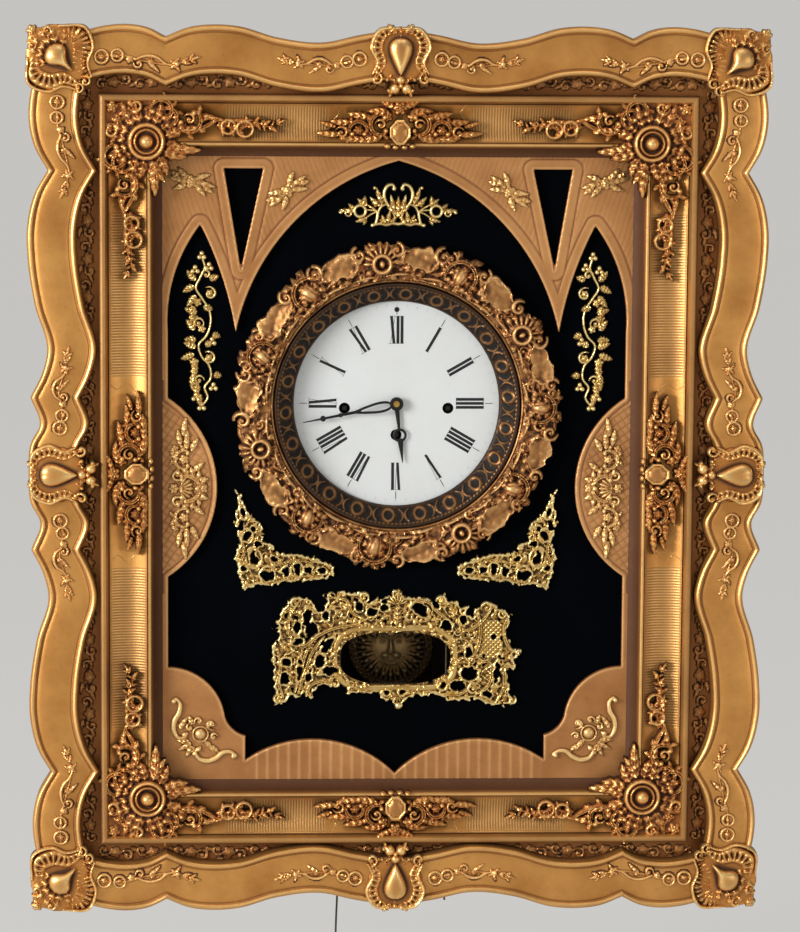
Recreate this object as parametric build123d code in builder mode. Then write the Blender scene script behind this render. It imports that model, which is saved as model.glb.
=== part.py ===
from build123d import *
from math import acos, atan2, cos, degrees, hypot, pi, sin, sqrt, tan
import os

os.makedirs("parts", exist_ok=True)

# Gilded wall clock in a picture frame. A shallow wooden case hangs on the wall and holds the
# movement, the dial and the pendulum. The carved frame with its velvet panel is a door in front of
# it, hinged on the left edge of the case. X runs to the viewer's right, Z up and Y into the wall.
# The wall is the plane Y = 0, and the origin is the middle of the hanging hole. Sizes are in mm.

# Picture frame seen from the front
sight_width = 318.0
sight_height = 427.0
inner_member = 43.0
outer_member = 33.0
moulding_gap = 1.0
stile_scallop = 14.0
rail_scallop = 12.0
bead_width = 4.6
rebate = 8.0
panel_fit = 0.2
frame_width = sight_width + 2 * (inner_member + moulding_gap + stile_scallop + outer_member)
frame_height = sight_height + 2 * (inner_member + moulding_gap + rail_scallop + outer_member)

# Wall case
case_lap = 39.0
case_depth = 95.0
case_wall = 12.0
case_back_board = 10.0
case_width = sight_width + 2 * case_lap
case_height = sight_height + 2 * case_lap

# Hanger
hanger_rise = 14.0
hanger_grip = 50.0
hanger_width = 44.0
hanger_plate_thickness = 3.0
hanger_hole = 5.0
screw_shank = 2.0
screw_head = 4.0
screw_head_height = 2.0
screw_bite = 6.0
screw_spread = 13.0

# Heights of the frame and of the dial in the hanging frame
frame_z = -(case_height / 2 + hanger_rise)
dial_rise = 45.0
dial_z = frame_z + dial_rise

# Depths of the door, from its back face towards the viewer
door_gap = 0.5
panel_thickness = 8.0
velvet_thickness = 1.0
fret_thickness = 5.0
base_thickness = 18.0
moulding_field = 11.0
bead_rise = 2.5
inner_panel_height = 17.0
inner_lip_height = 21.5
door_back = -(case_depth + door_gap)
velvet_front = door_back - panel_thickness
board_front = velvet_front + velvet_thickness
base_front = door_back - base_thickness
field_front = base_front - moulding_field
bead_front = field_front - bead_rise
panel_front = velvet_front - inner_panel_height

# Hinges
hinge_knuckle = 3.0
hinge_pin = 1.4
hinge_fit = 0.1
hinge_leaf = 1.6
hinge_leaf_width = 20.0
hinge_height = 45.0
hinge_spacing = 300.0
hinge_clearance = 0.6
hinge_x = -(case_width / 2 + hinge_knuckle)
hinge_y = -(case_depth + door_gap / 2)

# Dial, bezel and wreath
dial_radius = 75.0
dial_thickness = 2.5
dial_setback = 1.0
dial_bore = 3.6
winding_hole = 3.8
dial_show = 70.5
bezel_outer = 83.8
bezel_height = 8.0
panel_hole = 80.5
wreath_inner = 84.2
wreath_outer = 109.0
wreath_height = 15.0
flower_count = 12
dial_front = door_back + dial_setback
dial_back = dial_front + dial_thickness

# Pendulum window
window_width = 79.0
window_height = 38.0
window_corner = 16.0
window_drop = 175.5
window_z = dial_z - window_drop

# Movement plates
motion_space = 10.0
plate_thickness = 2.5
plate_space = 34.0
plate_margin = 7.0
plate_drop = 52.0
plate_climb = 62.0
pillar_radius = 3.5
nut_radius = 4.5
nut_height = 2.0
front_plate_y = dial_back + motion_space
front_plate_back = front_plate_y + plate_thickness
back_plate_y = front_plate_back + plate_space
back_plate_back = back_plate_y + plate_thickness

# Trains
running_fit = 0.08
pressure_angle = 20.0 * pi / 180
wheel_addendum = 0.45
pinion_addendum = 0.8
backlash = 0.14
great_teeth = 72
great_module = 0.532
centre_pinion_teeth = 10
centre_teeth = 84
centre_module = 0.43
third_pinion_teeth = 8
third_teeth = 96
third_module = 0.36
escape_pinion_teeth = 8
escape_teeth = 30
escape_radius = 12.0
cannon_teeth = 12
minute_wheel_teeth = 36
minute_module = 0.5
minute_pinion_teeth = 10
hour_wheel_teeth = 40
wheel_thickness = 1.6
great_thickness = 2.2
barrel_gap = 1.2
side_barrel_drop = 3.4
drum_step = 2.6
arbor_radius = 1.5
winding_radius = 2.2
winding_square = 3.0
third_lean = 123.0
minute_lean = 45.0

great_drop = great_module * (great_teeth + centre_pinion_teeth) / 2
great_tip = great_module * (great_teeth / 2 + wheel_addendum)
side_spacing = sqrt((2 * great_tip + barrel_gap) ** 2 - (great_drop - side_barrel_drop) ** 2)
drum_radius = great_tip - drum_step
third_reach = centre_module * (centre_teeth + third_pinion_teeth) / 2
third_x = third_reach * cos(third_lean * pi / 180)
third_z = third_reach * sin(third_lean * pi / 180)
escape_reach = third_module * (third_teeth + escape_pinion_teeth) / 2
escape_z = third_z + sqrt(escape_reach ** 2 - third_x ** 2)
minute_reach = minute_module * (cannon_teeth + minute_wheel_teeth) / 2
hour_module = 2 * minute_reach / (minute_pinion_teeth + hour_wheel_teeth)
minute_x = minute_reach * cos(minute_lean * pi / 180)
minute_z = minute_reach * sin(minute_lean * pi / 180)
plate_half = side_spacing + great_tip + plate_margin

# Hands, which stand at seventeen minutes to six, the hour hand set a little ahead
minute_angle = 258.6
hour_lead = 2.0
hour_angle = 150.0 + minute_angle / 12 + hour_lead
minute_length = 65.0
hour_length = 41.0
hand_thickness = 0.8
hand_gap = 1.9

# Pendulum and escapement
pivot_rise = 55.0
bob_drop = 180.0
bob_radius = 30.0
bob_thickness = 6.0
rod_radius = 1.5
pendulum_setback = 9.0
crutch_reach = 33.0
fork_fit = 0.3
pallet_spread = 14.0
pallet_drop = 17.0
pendulum_y = back_plate_back + pendulum_setback
pivot_z = dial_z + pivot_rise
bob_z = dial_z - bob_drop

# Gongs and hammers
gong_wire = 1.2
hour_gong_radius = 44.0
quarter_gong_radius = 52.0
gong_pitch = 8.0
gong_drop = 35.0
hour_gong_space = 14.0
quarter_gong_space = 7.0
hammer_x = 48.0
hammer_drop = 14.0
hammer_head = 4.0
hammer_arm = 4.0
strike_gap = 1.1
stud_radius = 1.5

# Pull cords
cord_radius = 0.7
cord_x = 37.0
eyelet_bore = 1.8
eyelet_wall = 1.2
eyelet_flange = 5.0
left_cord_fall = 92.0
right_cord_fall = 56.0
cord_inset = 4.0


def facing(y, z=0.0, x=0.0):
    """Plane at depth y that faces the viewer, with its axes along X and Z."""
    return Plane(origin=(x, y, z), x_dir=(1, 0, 0), z_dir=(0, -1, 0))


def pointing(y, clockwise):
    """Plane on the dial axis at depth y whose second axis points at a dial angle."""
    turn = clockwise * pi / 180
    return Plane(origin=(0, y, dial_z), x_dir=(cos(turn), 0, -sin(turn)), z_dir=(0, -1, 0))


def bar(back, front, radius, spots=((0, 0),), z=dial_z, mode=Mode.ADD):
    """Round bars through the depth at spots (x, z), from a back depth to a front one."""
    with BuildSketch(facing(back, z)) as ends:
        with Locations(*spots):
            Circle(radius)
    extrude(ends.sketch, amount=back - front, mode=mode)


def block(back, front, left, right, low, high, z=0.0, mode=Mode.ADD):
    """Square block between depths, sides and heights."""
    with BuildSketch(facing(back, z)) as ends:
        with Locations(((left + right) / 2, (low + high) / 2)):
            Rectangle(right - left, high - low)
    extrude(ends.sketch, amount=back - front, mode=mode)


def upright(x, y, low, high, radius, mode=Mode.ADD):
    """Round bar that stands along Z."""
    with BuildSketch(Plane(origin=(x, y, low))) as end:
        Circle(radius)
    extrude(end.sketch, amount=high - low, mode=mode)


def write(piece, name):
    """Names a finished piece and writes it."""
    piece.part.label = name
    export_step(piece.part, f"parts/{name}.step")


# Case boards
with BuildPart() as case_back:
    block(0, -case_back_board, -case_width / 2, case_width / 2, -case_height / 2, case_height / 2, frame_z)
    block(0, -hanger_plate_thickness, -hanger_width / 2, hanger_width / 2,
          -hanger_rise - hanger_grip, -hanger_rise + 1, mode=Mode.SUBTRACT)
    bar(0, -hanger_plate_thickness - screw_bite, screw_shank,
        [(side * screw_spread, -hanger_rise - hanger_grip / 2) for side in (-1, 1)], 0, Mode.SUBTRACT)
write(case_back, "case_back")

with BuildPart() as case_sides:
    for side in (-1, 1):
        outer = side * case_width / 2
        inner = outer - side * case_wall
        block(-case_back_board, -case_depth, min(outer, inner), max(outer, inner),
              -case_height / 2, case_height / 2, frame_z)
write(case_sides, "case_sides")

with BuildPart() as case_top:
    block(-case_back_board, -case_depth, -case_width / 2 + case_wall, case_width / 2 - case_wall,
          case_height / 2 - case_wall, case_height / 2, frame_z)
write(case_top, "case_top")

cord_y = front_plate_back + cord_inset
case_floor = frame_z - case_height / 2
with BuildPart() as case_bottom:
    block(-case_back_board, -case_depth, -case_width / 2 + case_wall, case_width / 2 - case_wall,
          -case_height / 2, -case_height / 2 + case_wall, frame_z)
    for side in (-1, 1):
        upright(side * cord_x, cord_y, case_floor, case_floor + case_wall, eyelet_bore + eyelet_wall,
                Mode.SUBTRACT)
write(case_bottom, "case_bottom")

with BuildPart() as hanger_plate:
    with BuildSketch(facing(0)):
        with Locations((0, -(hanger_rise + hanger_grip) / 2)):
            Rectangle(hanger_width, hanger_rise + hanger_grip)
        Circle(hanger_width / 2)
        Circle(hanger_hole, mode=Mode.SUBTRACT)
    extrude(amount=hanger_plate_thickness)
    hanger_screws = [(side * screw_spread, -hanger_rise - hanger_grip / 2) for side in (-1, 1)]
    bar(0, -hanger_plate_thickness, screw_shank, hanger_screws, 0, Mode.SUBTRACT)
    bar(0, -screw_head_height, screw_head, hanger_screws, 0, Mode.SUBTRACT)
write(hanger_plate, "hanger_plate")

# Movement brackets: two bars behind the back plate, each with two legs to the case back
leg_height = 8.0
bracket_width = 8.0
bracket_bar = 7.0
foot_reach = 16.0
foot_thickness = 4.0
bracket_low = dial_z - plate_drop - 18
bracket_high = dial_z + plate_climb - 4
foot_front = -case_back_board - foot_thickness
foot_spots = [(side * (plate_half + foot_reach / 2), z + leg_height / 2)
              for side in (-1, 1) for z in (bracket_low, bracket_high - leg_height)]
with BuildPart() as movement_brackets:
    for side in (-1, 1):
        left = min(side * plate_half, side * (plate_half - bracket_width))
        right = left + bracket_width
        block(back_plate_back + bracket_bar, back_plate_back, left, right, bracket_low, bracket_high)
        for low in (bracket_low, bracket_high - leg_height):
            block(-case_back_board, back_plate_back, left, right, low, low + leg_height)
            block(-case_back_board, foot_front, min(left, left + side * foot_reach),
                  max(right, right + side * foot_reach), low, low + leg_height)
    bar(-case_back_board, foot_front, screw_shank, foot_spots, 0, Mode.SUBTRACT)
write(movement_brackets, "movement_brackets")

with BuildPart() as wood_screws:
    bar(-screw_head_height, -hanger_plate_thickness - screw_bite, screw_shank, hanger_screws, 0)
    bar(0, -screw_head_height, screw_head, hanger_screws, 0)
    bar(-case_back_board, foot_front, screw_shank, foot_spots, 0)
    bar(foot_front, foot_front - screw_head_height, screw_head, foot_spots, 0)
write(wood_screws, "wood_screws")

# Hinges on the left edge of the case
hinge_lows = [frame_z + side * hinge_spacing / 2 - hinge_height / 2 for side in (-1, 1)]
third_part = hinge_height / 3
leaf_start = hinge_knuckle + hinge_clearance
with BuildPart() as case_hinge_leaves:
    for low in hinge_lows:
        block(-case_depth + hinge_leaf_width, hinge_y + leaf_start, -case_width / 2 - hinge_leaf,
              -case_width / 2, low, low + hinge_height)
        for start in (low, low + 2 * third_part + hinge_fit):
            block(hinge_y + leaf_start, hinge_y, -case_width / 2 - hinge_leaf, -case_width / 2,
                  start, start + third_part - hinge_fit)
            upright(hinge_x, hinge_y, start, start + third_part - hinge_fit, hinge_knuckle)
    for low in hinge_lows:
        upright(hinge_x, hinge_y, low, low + hinge_height, hinge_pin, Mode.SUBTRACT)
write(case_hinge_leaves, "case_hinge_leaves")

with BuildPart() as hinge_pins:
    for low in hinge_lows:
        upright(hinge_x, hinge_y, low, low + hinge_height, hinge_pin)
write(hinge_pins, "hinge_pins")

with BuildPart() as frame_hinge_leaves:
    for low in hinge_lows:
        block(door_back, door_back - hinge_leaf, hinge_x - hinge_leaf_width, hinge_x - leaf_start,
              low, low + hinge_height)
        block(door_back, door_back - hinge_leaf, hinge_x - leaf_start, hinge_x,
              low + third_part + hinge_fit, low + 2 * third_part - hinge_fit)
        upright(hinge_x, hinge_y, low + third_part + hinge_fit, low + 2 * third_part - hinge_fit,
                hinge_knuckle)
    for low in hinge_lows:
        upright(hinge_x, hinge_y, low, low + hinge_height, hinge_pin + hinge_fit, Mode.SUBTRACT)
write(frame_hinge_leaves, "frame_hinge_leaves")


def cut_hinge_room():
    """Hollows in the back of the door for the knuckles and the sunk leaves."""
    for low in hinge_lows:
        upright(hinge_x, hinge_y, low - hinge_clearance, low + hinge_height + hinge_clearance, leaf_start,
                Mode.SUBTRACT)
        block(door_back, door_back - hinge_leaf, hinge_x - hinge_leaf_width, hinge_x, low, low + hinge_height,
              mode=Mode.SUBTRACT)


# Scalloped outer moulding: each edge is the outer outline moved inwards
rail_top = frame_height / 2
stile_side = frame_width / 2
corner_cut = 3.0
corner_lobe_rail = 93.0
corner_lobe_stile = 97.5
mitre_run = outer_member + 1.0


def mitre(offset):
    """Point on the corner mitre, a distance inside the outer edge."""
    share = offset / outer_member * mitre_run
    return stile_side - corner_cut - share, rail_top - corner_cut - share


def rail_half(offset):
    """Right half of the scalloped edge of the top rail."""
    top = rail_top - offset
    notch = stile_side - corner_lobe_rail
    lobe_end = stile_side - corner_cut - mitre_run - 1
    with BuildLine() as edge:
        Spline((0, top - 2), (27, top - 6.5), (52, top - rail_scallop + 0.4), (82, top - 8.5),
               (notch - 48, top - 1), (notch - 32, top), (notch - 15, top - 2), (notch, top - 8),
               tangents=[(1, 0), (0.8, -0.6)])
        ThreePointArc((notch, top - 8), (notch + 26, top), (lobe_end, top - 4.6))
        Line((lobe_end, top - 4.6), mitre(offset))
    return edge.line


def stile_half(offset):
    """Upper half of the scalloped edge of the right stile."""
    side = stile_side - offset
    notch = rail_top - corner_lobe_stile
    lobe_end = rail_top - corner_cut - mitre_run - 1
    with BuildLine() as edge:
        Spline((side, 0), (side - 1.5, 20), (side - 7.8, 33), (side - 1.7, 52), tangents=[(0, 1), (0.7, 0.7)])
        Spline((side - 1.7, 52), (side - 9.5, 68), (side - stile_scallop + 1, 82), (side - 4.8, 115),
               (side - 0.3, notch - 59), (side, notch - 39), (side - 5.5, notch - 15),
               (side - stile_scallop, notch), tangents=[(-0.7, 0.7), (-0.6, 0.8)])
        ThreePointArc((side - stile_scallop, notch), (side - 1.5, notch + 35), (side - 4.6, lobe_end))
        Line((side - 4.6, lobe_end), mitre(offset))
    return edge.line


def rail_band(back, height, start, end):
    """Stretch of the top rail between two distances inside its outer edge."""
    with BuildSketch(facing(back, frame_z)) as band:
        with BuildLine():
            add(rail_half(start))
            Line(mitre(start), mitre(end))
            add(rail_half(end))
            mirror(about=Plane.YZ)
        make_face()
    extrude(band.sketch, amount=height)


def stile_band(back, height, start, end):
    """Stretch of the right stile between two distances inside its outer edge."""
    with BuildSketch(facing(back, frame_z)) as band:
        with BuildLine():
            add(stile_half(start))
            Line(mitre(start), mitre(end))
            add(stile_half(end))
            mirror(about=Plane.XZ)
        make_face()
    extrude(band.sketch, amount=height)


middle_height = Plane(origin=(0, 0, frame_z), z_dir=(0, 0, 1))
with BuildPart() as outer_frame_rails:
    rail_band(base_front, moulding_field, 0, outer_member)
    rail_band(field_front, bead_rise, 0, bead_width)
    rail_band(field_front, bead_rise, outer_member - bead_width, outer_member)
    mirror(about=middle_height)
write(outer_frame_rails, "outer_frame_rails")

with BuildPart() as outer_frame_stiles:
    stile_band(base_front, moulding_field, 0, outer_member)
    stile_band(field_front, bead_rise, 0, bead_width)
    stile_band(field_front, bead_rise, outer_member - bead_width, outer_member)
    mirror(about=Plane.YZ)
write(outer_frame_stiles, "outer_frame_stiles")

base_set_in = 22.0
with BuildPart() as base_frame:
    with BuildSketch(facing(door_back, frame_z)):
        Rectangle(frame_width - 2 * base_set_in, frame_height - 2 * base_set_in)
        Rectangle(sight_width + 2 * inner_member, sight_height + 2 * inner_member, mode=Mode.SUBTRACT)
    extrude(amount=base_thickness)
    cut_hinge_room()
write(base_frame, "base_frame")

# Inner moulding: its section runs from the sight edge outwards, heights counted from the velvet
wall_run = 9.0
lip_width = 4.8
section = [(0, 0), (0, 4), (2, 5.5), (5, 9), (wall_run - 1, inner_panel_height - 1.5),
           (wall_run, inner_panel_height), (inner_member - lip_width - 1, inner_panel_height),
           (inner_member - lip_width, inner_lip_height - 0.8),
           (inner_member - lip_width + 1.2, inner_lip_height),
           (inner_member - 1.2, inner_lip_height), (inner_member, inner_lip_height - 1.2),
           (inner_member, -panel_thickness), (rebate, -panel_thickness), (rebate, 0)]

with BuildPart() as inner_frame_rails:
    with BuildSketch(Plane.YZ):
        with BuildLine():
            Polyline(*[(velvet_front - rise, frame_z + sight_height / 2 + out) for out, rise in section],
                     close=True)
        make_face()
    extrude(amount=sight_width / 2 + inner_member, both=True)
    for side in (-1, 1):
        split(bisect_by=Plane(origin=(side * sight_width / 2, 0, frame_z + sight_height / 2), x_dir=(0, 1, 0),
                              z_dir=(side, 0, -1)), keep=Keep.BOTTOM)
    mirror(about=middle_height)
write(inner_frame_rails, "inner_frame_rails")

with BuildPart() as inner_frame_stiles:
    with BuildSketch(Plane(origin=(0, 0, frame_z))):
        with BuildLine():
            Polyline(*[(sight_width / 2 + out, velvet_front - rise) for out, rise in section], close=True)
        make_face()
    extrude(amount=sight_height / 2 + inner_member, both=True)
    for side in (-1, 1):
        split(bisect_by=Plane(origin=(sight_width / 2, 0, frame_z + side * sight_height / 2), x_dir=(0, 1, 0),
                              z_dir=(-1, 0, side)), keep=Keep.BOTTOM)
    mirror(about=Plane.YZ)
    cut_hinge_room()
write(inner_frame_stiles, "inner_frame_stiles")

# Panel board with its velvet, both with the dial hole and the pendulum window
board_width = sight_width + 2 * (rebate - panel_fit)
board_height = sight_height + 2 * (rebate - panel_fit)


def panel(back, front):
    """Panel between two depths with its two openings."""
    with BuildSketch(facing(back, frame_z)) as sheet:
        Rectangle(board_width, board_height)
        with Locations((0, dial_rise)):
            Circle(panel_hole, mode=Mode.SUBTRACT)
        with Locations((0, window_z - frame_z)):
            RectangleRounded(window_width, window_height, window_corner, mode=Mode.SUBTRACT)
    extrude(sheet.sketch, amount=back - front)


with BuildPart() as panel_board:
    panel(door_back, board_front)
write(panel_board, "panel_board")

with BuildPart() as velvet_cover:
    panel(board_front, velvet_front)
write(velvet_cover, "velvet_cover")

# Pointed-arch overlay: the right half of its main opening, mirrored, and two small triangles
fret_rim = 3.0
half_wide = sight_width / 2 - fret_rim
half_high = sight_height / 2
apex_z = half_high - 2
tip_x = half_wide - 46.0
tip_z = half_high - 119.0
lancet_x = half_wide - 22.0
lancet_z = half_high - 45.5
disc_depth = 33.5
disc_half = 61.5
disc_z = -11.5
ear_z = 77.5 - half_high
ear_x = 103.0
ear_low = 29.5 - half_high
step_low = 12.5 - half_high
scallop_top = 26.8 - half_high
scallop_foot = 3.0 - half_high
with BuildPart() as gothic_fret:
    with BuildSketch(facing(velvet_front, frame_z)):
        Rectangle(sight_width - 2 * panel_fit, sight_height - 2 * panel_fit)
        with BuildSketch(mode=Mode.SUBTRACT):
            with BuildLine():
                ThreePointArc((0, apex_z), (70, half_high - 43), (tip_x, tip_z))
                ThreePointArc((tip_x, tip_z), ((tip_x + lancet_x) / 2 + 3, (tip_z + lancet_z) / 2 - 1),
                              (lancet_x, lancet_z))
                ThreePointArc((lancet_x, lancet_z), (half_wide - 5.5, lancet_z - 31),
                              (half_wide, lancet_z - 73))
                Line((half_wide, lancet_z - 73), (half_wide, disc_z + disc_half))
                ThreePointArc((half_wide, disc_z + disc_half), (half_wide - disc_depth, disc_z),
                              (half_wide, disc_z - disc_half))
                Line((half_wide, disc_z - disc_half), (half_wide, ear_z))
                ThreePointArc((half_wide, ear_z), (half_wide - 22, ear_z - 7), (half_wide - 39, ear_z - 35))
                ThreePointArc((half_wide - 39, ear_z - 35), (half_wide - 44.5, ear_z - 43.5),
                              (ear_x, ear_low))
                Line((ear_x, ear_low), (ear_x, step_low))
                ThreePointArc((ear_x, step_low), (54, scallop_top), (0, scallop_foot))
                mirror(about=Plane.YZ)
            make_face()
        with BuildSketch(mode=Mode.SUBTRACT):
            for side in (-1, 1):
                with BuildLine():
                    Polyline((side * 91.5, half_high - 7.5), (side * 118, half_high - 7.5),
                             (side * 106.5, half_high - 76), close=True)
                make_face()
    extrude(amount=fret_thickness)
write(gothic_fret, "gothic_fret")

# Wreath and bezel round the dial
dial_axis = Axis((0, 0, dial_z), (0, 1, 0))
across_dial = Plane(origin=(0, 0, dial_z))
flower_ring = (wreath_inner + wreath_outer) / 2 + 2
flower_radius = (wreath_outer - wreath_inner) / 2 + 1
with BuildPart() as dial_wreath:
    with BuildSketch(across_dial):
        with BuildLine():
            Polyline((wreath_outer, velvet_front - 7), (wreath_outer, velvet_front),
                     (wreath_inner, velvet_front), (wreath_inner, velvet_front - 9))
            ThreePointArc((wreath_inner, velvet_front - 9), (flower_ring - 3, velvet_front - wreath_height),
                          (wreath_outer, velvet_front - 7))
        make_face()
    revolve(axis=dial_axis)
    for number in range(flower_count):
        turn = 2 * pi * number / flower_count
        with Locations(Plane(origin=(flower_ring * sin(turn), velvet_front, dial_z + flower_ring * cos(turn)),
                             z_dir=(0, -1, 0))):
            Cone(flower_radius, flower_radius / 2, wreath_height + 2.5,
                 align=(Align.CENTER, Align.CENTER, Align.MIN))
write(dial_wreath, "dial_wreath")

bezel_lip = door_back - 1.0
with BuildPart() as dial_bezel:
    with BuildSketch(across_dial):
        with BuildLine():
            Polyline((dial_show, bezel_lip), (dial_show, bezel_lip - 1.6),
                     (bezel_outer - 2, velvet_front - bezel_height),
                     (bezel_outer, velvet_front - bezel_height),
                     (bezel_outer, velvet_front), (panel_hole - 0.6, velvet_front),
                     (dial_show + 4, bezel_lip), close=True)
        make_face()
    revolve(axis=dial_axis)
write(dial_bezel, "dial_bezel")

# Carved pieces on the outer moulding, which stand on its beads
cartouche_plate = 4.0
boss_radius = 14.0
boss_rise = 6.0
corner_in = 21.5


def boss(x, z, front, radius, rise):
    """Rounded boss that stands on a plane towards the viewer, cut from a larger ball."""
    ball = (radius ** 2 + rise ** 2) / (2 * rise)
    with BuildSketch(Plane(origin=(x, 0, z))) as half:
        with BuildLine():
            Line((0, front), (radius, front))
            ThreePointArc((radius, front), (ball * sin(acos(1 - rise / ball) / 2),
                                            front - rise + ball * (1 - cos(acos(1 - rise / ball) / 2))),
                          (0, front - rise))
            Line((0, front - rise), (0, front))
        make_face()
    revolve(half.sketch, axis=Axis((x, 0, z), (0, 1, 0)))


corner_lobes = [(0, 0, 16), (11, 11, 9.5), (14, -6, 7.5), (-6, 14, 7.5),
                (-13, -13, 9), (-15, 3, 7), (3, -15, 7)]
with BuildPart() as outer_corner_cartouches:
    for side in (-1, 1):
        for up in (-1, 1):
            x = side * (stile_side - corner_in)
            z = frame_z + up * (rail_top - corner_in)
            for across, along, radius in corner_lobes:
                bar(bead_front, bead_front - cartouche_plate, radius,
                    [(x + side * across, z + up * along)], 0)
            boss(x, z, bead_front - cartouche_plate, boss_radius, boss_rise)
write(outer_corner_cartouches, "outer_corner_cartouches")

middle_in = 18.5
middle_lobes = [(0, 0, 14), (14, 0, 9), (-14, 0, 9), (0, 8, 10), (0, -11, 10), (9, -14, 6), (-9, -14, 6)]
with BuildPart() as outer_middle_cartouches:
    for side in (-1, 1):
        for across, along, radius in middle_lobes:
            bar(bead_front, bead_front - cartouche_plate, radius,
                [(across, frame_z + side * (rail_top - middle_in + along))], 0)
            bar(bead_front, bead_front - cartouche_plate, radius,
                [(side * (stile_side - middle_in + along), frame_z + across)], 0)
        boss(0, frame_z + side * (rail_top - middle_in), bead_front - cartouche_plate, 11, 4.5)
        boss(side * (stile_side - middle_in), frame_z, bead_front - cartouche_plate, 11, 4.5)
write(outer_middle_cartouches, "outer_middle_cartouches")

# Carved pieces on the flat of the inner moulding
spray_height = 5.0
ball_in = 11.5
ball_radius = 9.0
arm_rail = 88.0
arm_stile = 92.0
arm_width = 15.0
arm_tip = 5.0
panel_middle = (wall_run + inner_member - lip_width) / 2
with BuildPart() as inner_corner_rosettes:
    for side in (-1, 1):
        for up in (-1, 1):
            corner_x = side * sight_width / 2
            corner_z = frame_z + up * sight_height / 2
            x = corner_x + side * ball_in
            z = corner_z + up * ball_in
            bar(panel_front, panel_front - spray_height, 14.5, [(x, z)], 0)
            bar(panel_front, panel_front - spray_height, 13,
                [(corner_x + side * panel_middle, corner_z + up * panel_middle)], 0)
            with BuildSketch(facing(panel_front)) as arms:
                with BuildLine():
                    Polyline((x, corner_z + up * (panel_middle - arm_width / 2)),
                             (x, corner_z + up * (panel_middle + arm_width / 2)),
                             (x - side * arm_rail, corner_z + up * (panel_middle + arm_tip / 2)),
                             (x - side * arm_rail, corner_z + up * (panel_middle - arm_tip / 2)), close=True)
                make_face()
                with BuildLine():
                    Polyline((corner_x + side * (panel_middle - arm_width / 2), z),
                             (corner_x + side * (panel_middle + arm_width / 2), z),
                             (corner_x + side * (panel_middle + arm_tip / 2), z - up * arm_stile),
                             (corner_x + side * (panel_middle - arm_tip / 2), z - up * arm_stile), close=True)
                make_face()
            extrude(arms.sketch, amount=spray_height)
            boss(x, z, panel_front - spray_height, ball_radius, 6.5)
write(inner_corner_rosettes, "inner_corner_rosettes")

spray_half = 54.0
with BuildPart() as inner_middle_sprays:
    for side in (-1, 1):
        rail_z = frame_z + side * (sight_height / 2 + panel_middle)
        stile_x = side * (sight_width / 2 + panel_middle)
        with BuildSketch(facing(panel_front)) as sprays:
            with Locations((0, rail_z)):
                Ellipse(spray_half, 9)
                Circle(13)
            with Locations((stile_x, frame_z)):
                Ellipse(9, spray_half)
                Circle(13)
        extrude(sprays.sketch, amount=spray_height)
        boss(0, rail_z, panel_front - spray_height, 9, 4)
        boss(stile_x, frame_z, panel_front - spray_height, 9, 4)
write(inner_middle_sprays, "inner_middle_sprays")

# Stamped gilt mounts on the velvet; every outline is a chain of round lobes
mount_thickness = 3.0
mount_front = velvet_front - mount_thickness


def lobes(spots, both_sides=False):
    """Flat mount on the velvet from round lobes (x, z, radius), heights from the frame middle."""
    with BuildSketch(facing(velvet_front, frame_z)) as outline:
        for x, z, radius in spots:
            with Locations((x, z)):
                Circle(radius)
            if both_sides:
                with Locations((-x, z)):
                    Circle(radius)
    extrude(outline.sketch, amount=mount_thickness)


crest_z = half_high - 38.0
with BuildPart() as crest_mount:
    lobes([(0, crest_z + 8, 8), (0, crest_z - 3, 10), (10, crest_z - 3, 8), (19, crest_z - 5, 8),
           (27, crest_z - 8, 7), (33, crest_z - 11, 5)], True)
    boss(0, frame_z + crest_z, mount_front, 6, 2.5)
write(crest_mount, "crest_mount")

vine_x = half_wide - 21.5
vine_low = 43.0
vine_step = 11.0
with BuildPart() as vine_mounts:
    for side in (-1, 1):
        lobes([(side * (vine_x + 3.5 * sin(number * pi / 2)), vine_low + 6 + number * vine_step,
                8.0 if number < 5 else 7.5 - 0.4 * (number - 5)) for number in range(9)])
write(vine_mounts, "vine_mounts")

bracket_inset = 45.0
bracket_limb = 6.0
bracket_middle = 25.0
bracket_reach = 68.0
bracket_low = 131.0
bracket_top = 60.0
bracket_bend = 101.0
bracket_toe = 121.0
bracket_instep = 115.0
wreath_gap = 4.0
bracket_x = half_wide - bracket_inset
wreath_reach = flower_ring + flower_radius
with BuildPart() as corner_mounts:
    for side in (-1, 1):
        with BuildSketch(facing(velvet_front, dial_z)):
            with BuildLine():
                Polyline((side * (bracket_x - bracket_reach), -bracket_instep),
                         (side * (bracket_x - bracket_reach), -bracket_toe), (side * bracket_x, -bracket_low),
                         (side * bracket_x, -bracket_top), (side * (bracket_x - bracket_limb), -bracket_top))
                ThreePointArc((side * (bracket_x - bracket_limb), -bracket_top),
                              (side * (bracket_x - bracket_middle), -bracket_bend),
                              (side * (bracket_x - bracket_reach), -bracket_instep))
            make_face()
            Circle(wreath_reach + wreath_gap, mode=Mode.SUBTRACT)
        extrude(amount=mount_thickness)
        boss(side * (bracket_x - bracket_middle / 2), dial_z - (bracket_bend + bracket_low) / 2,
             mount_front, 7, 3)
write(corner_mounts, "corner_mounts")

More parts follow.
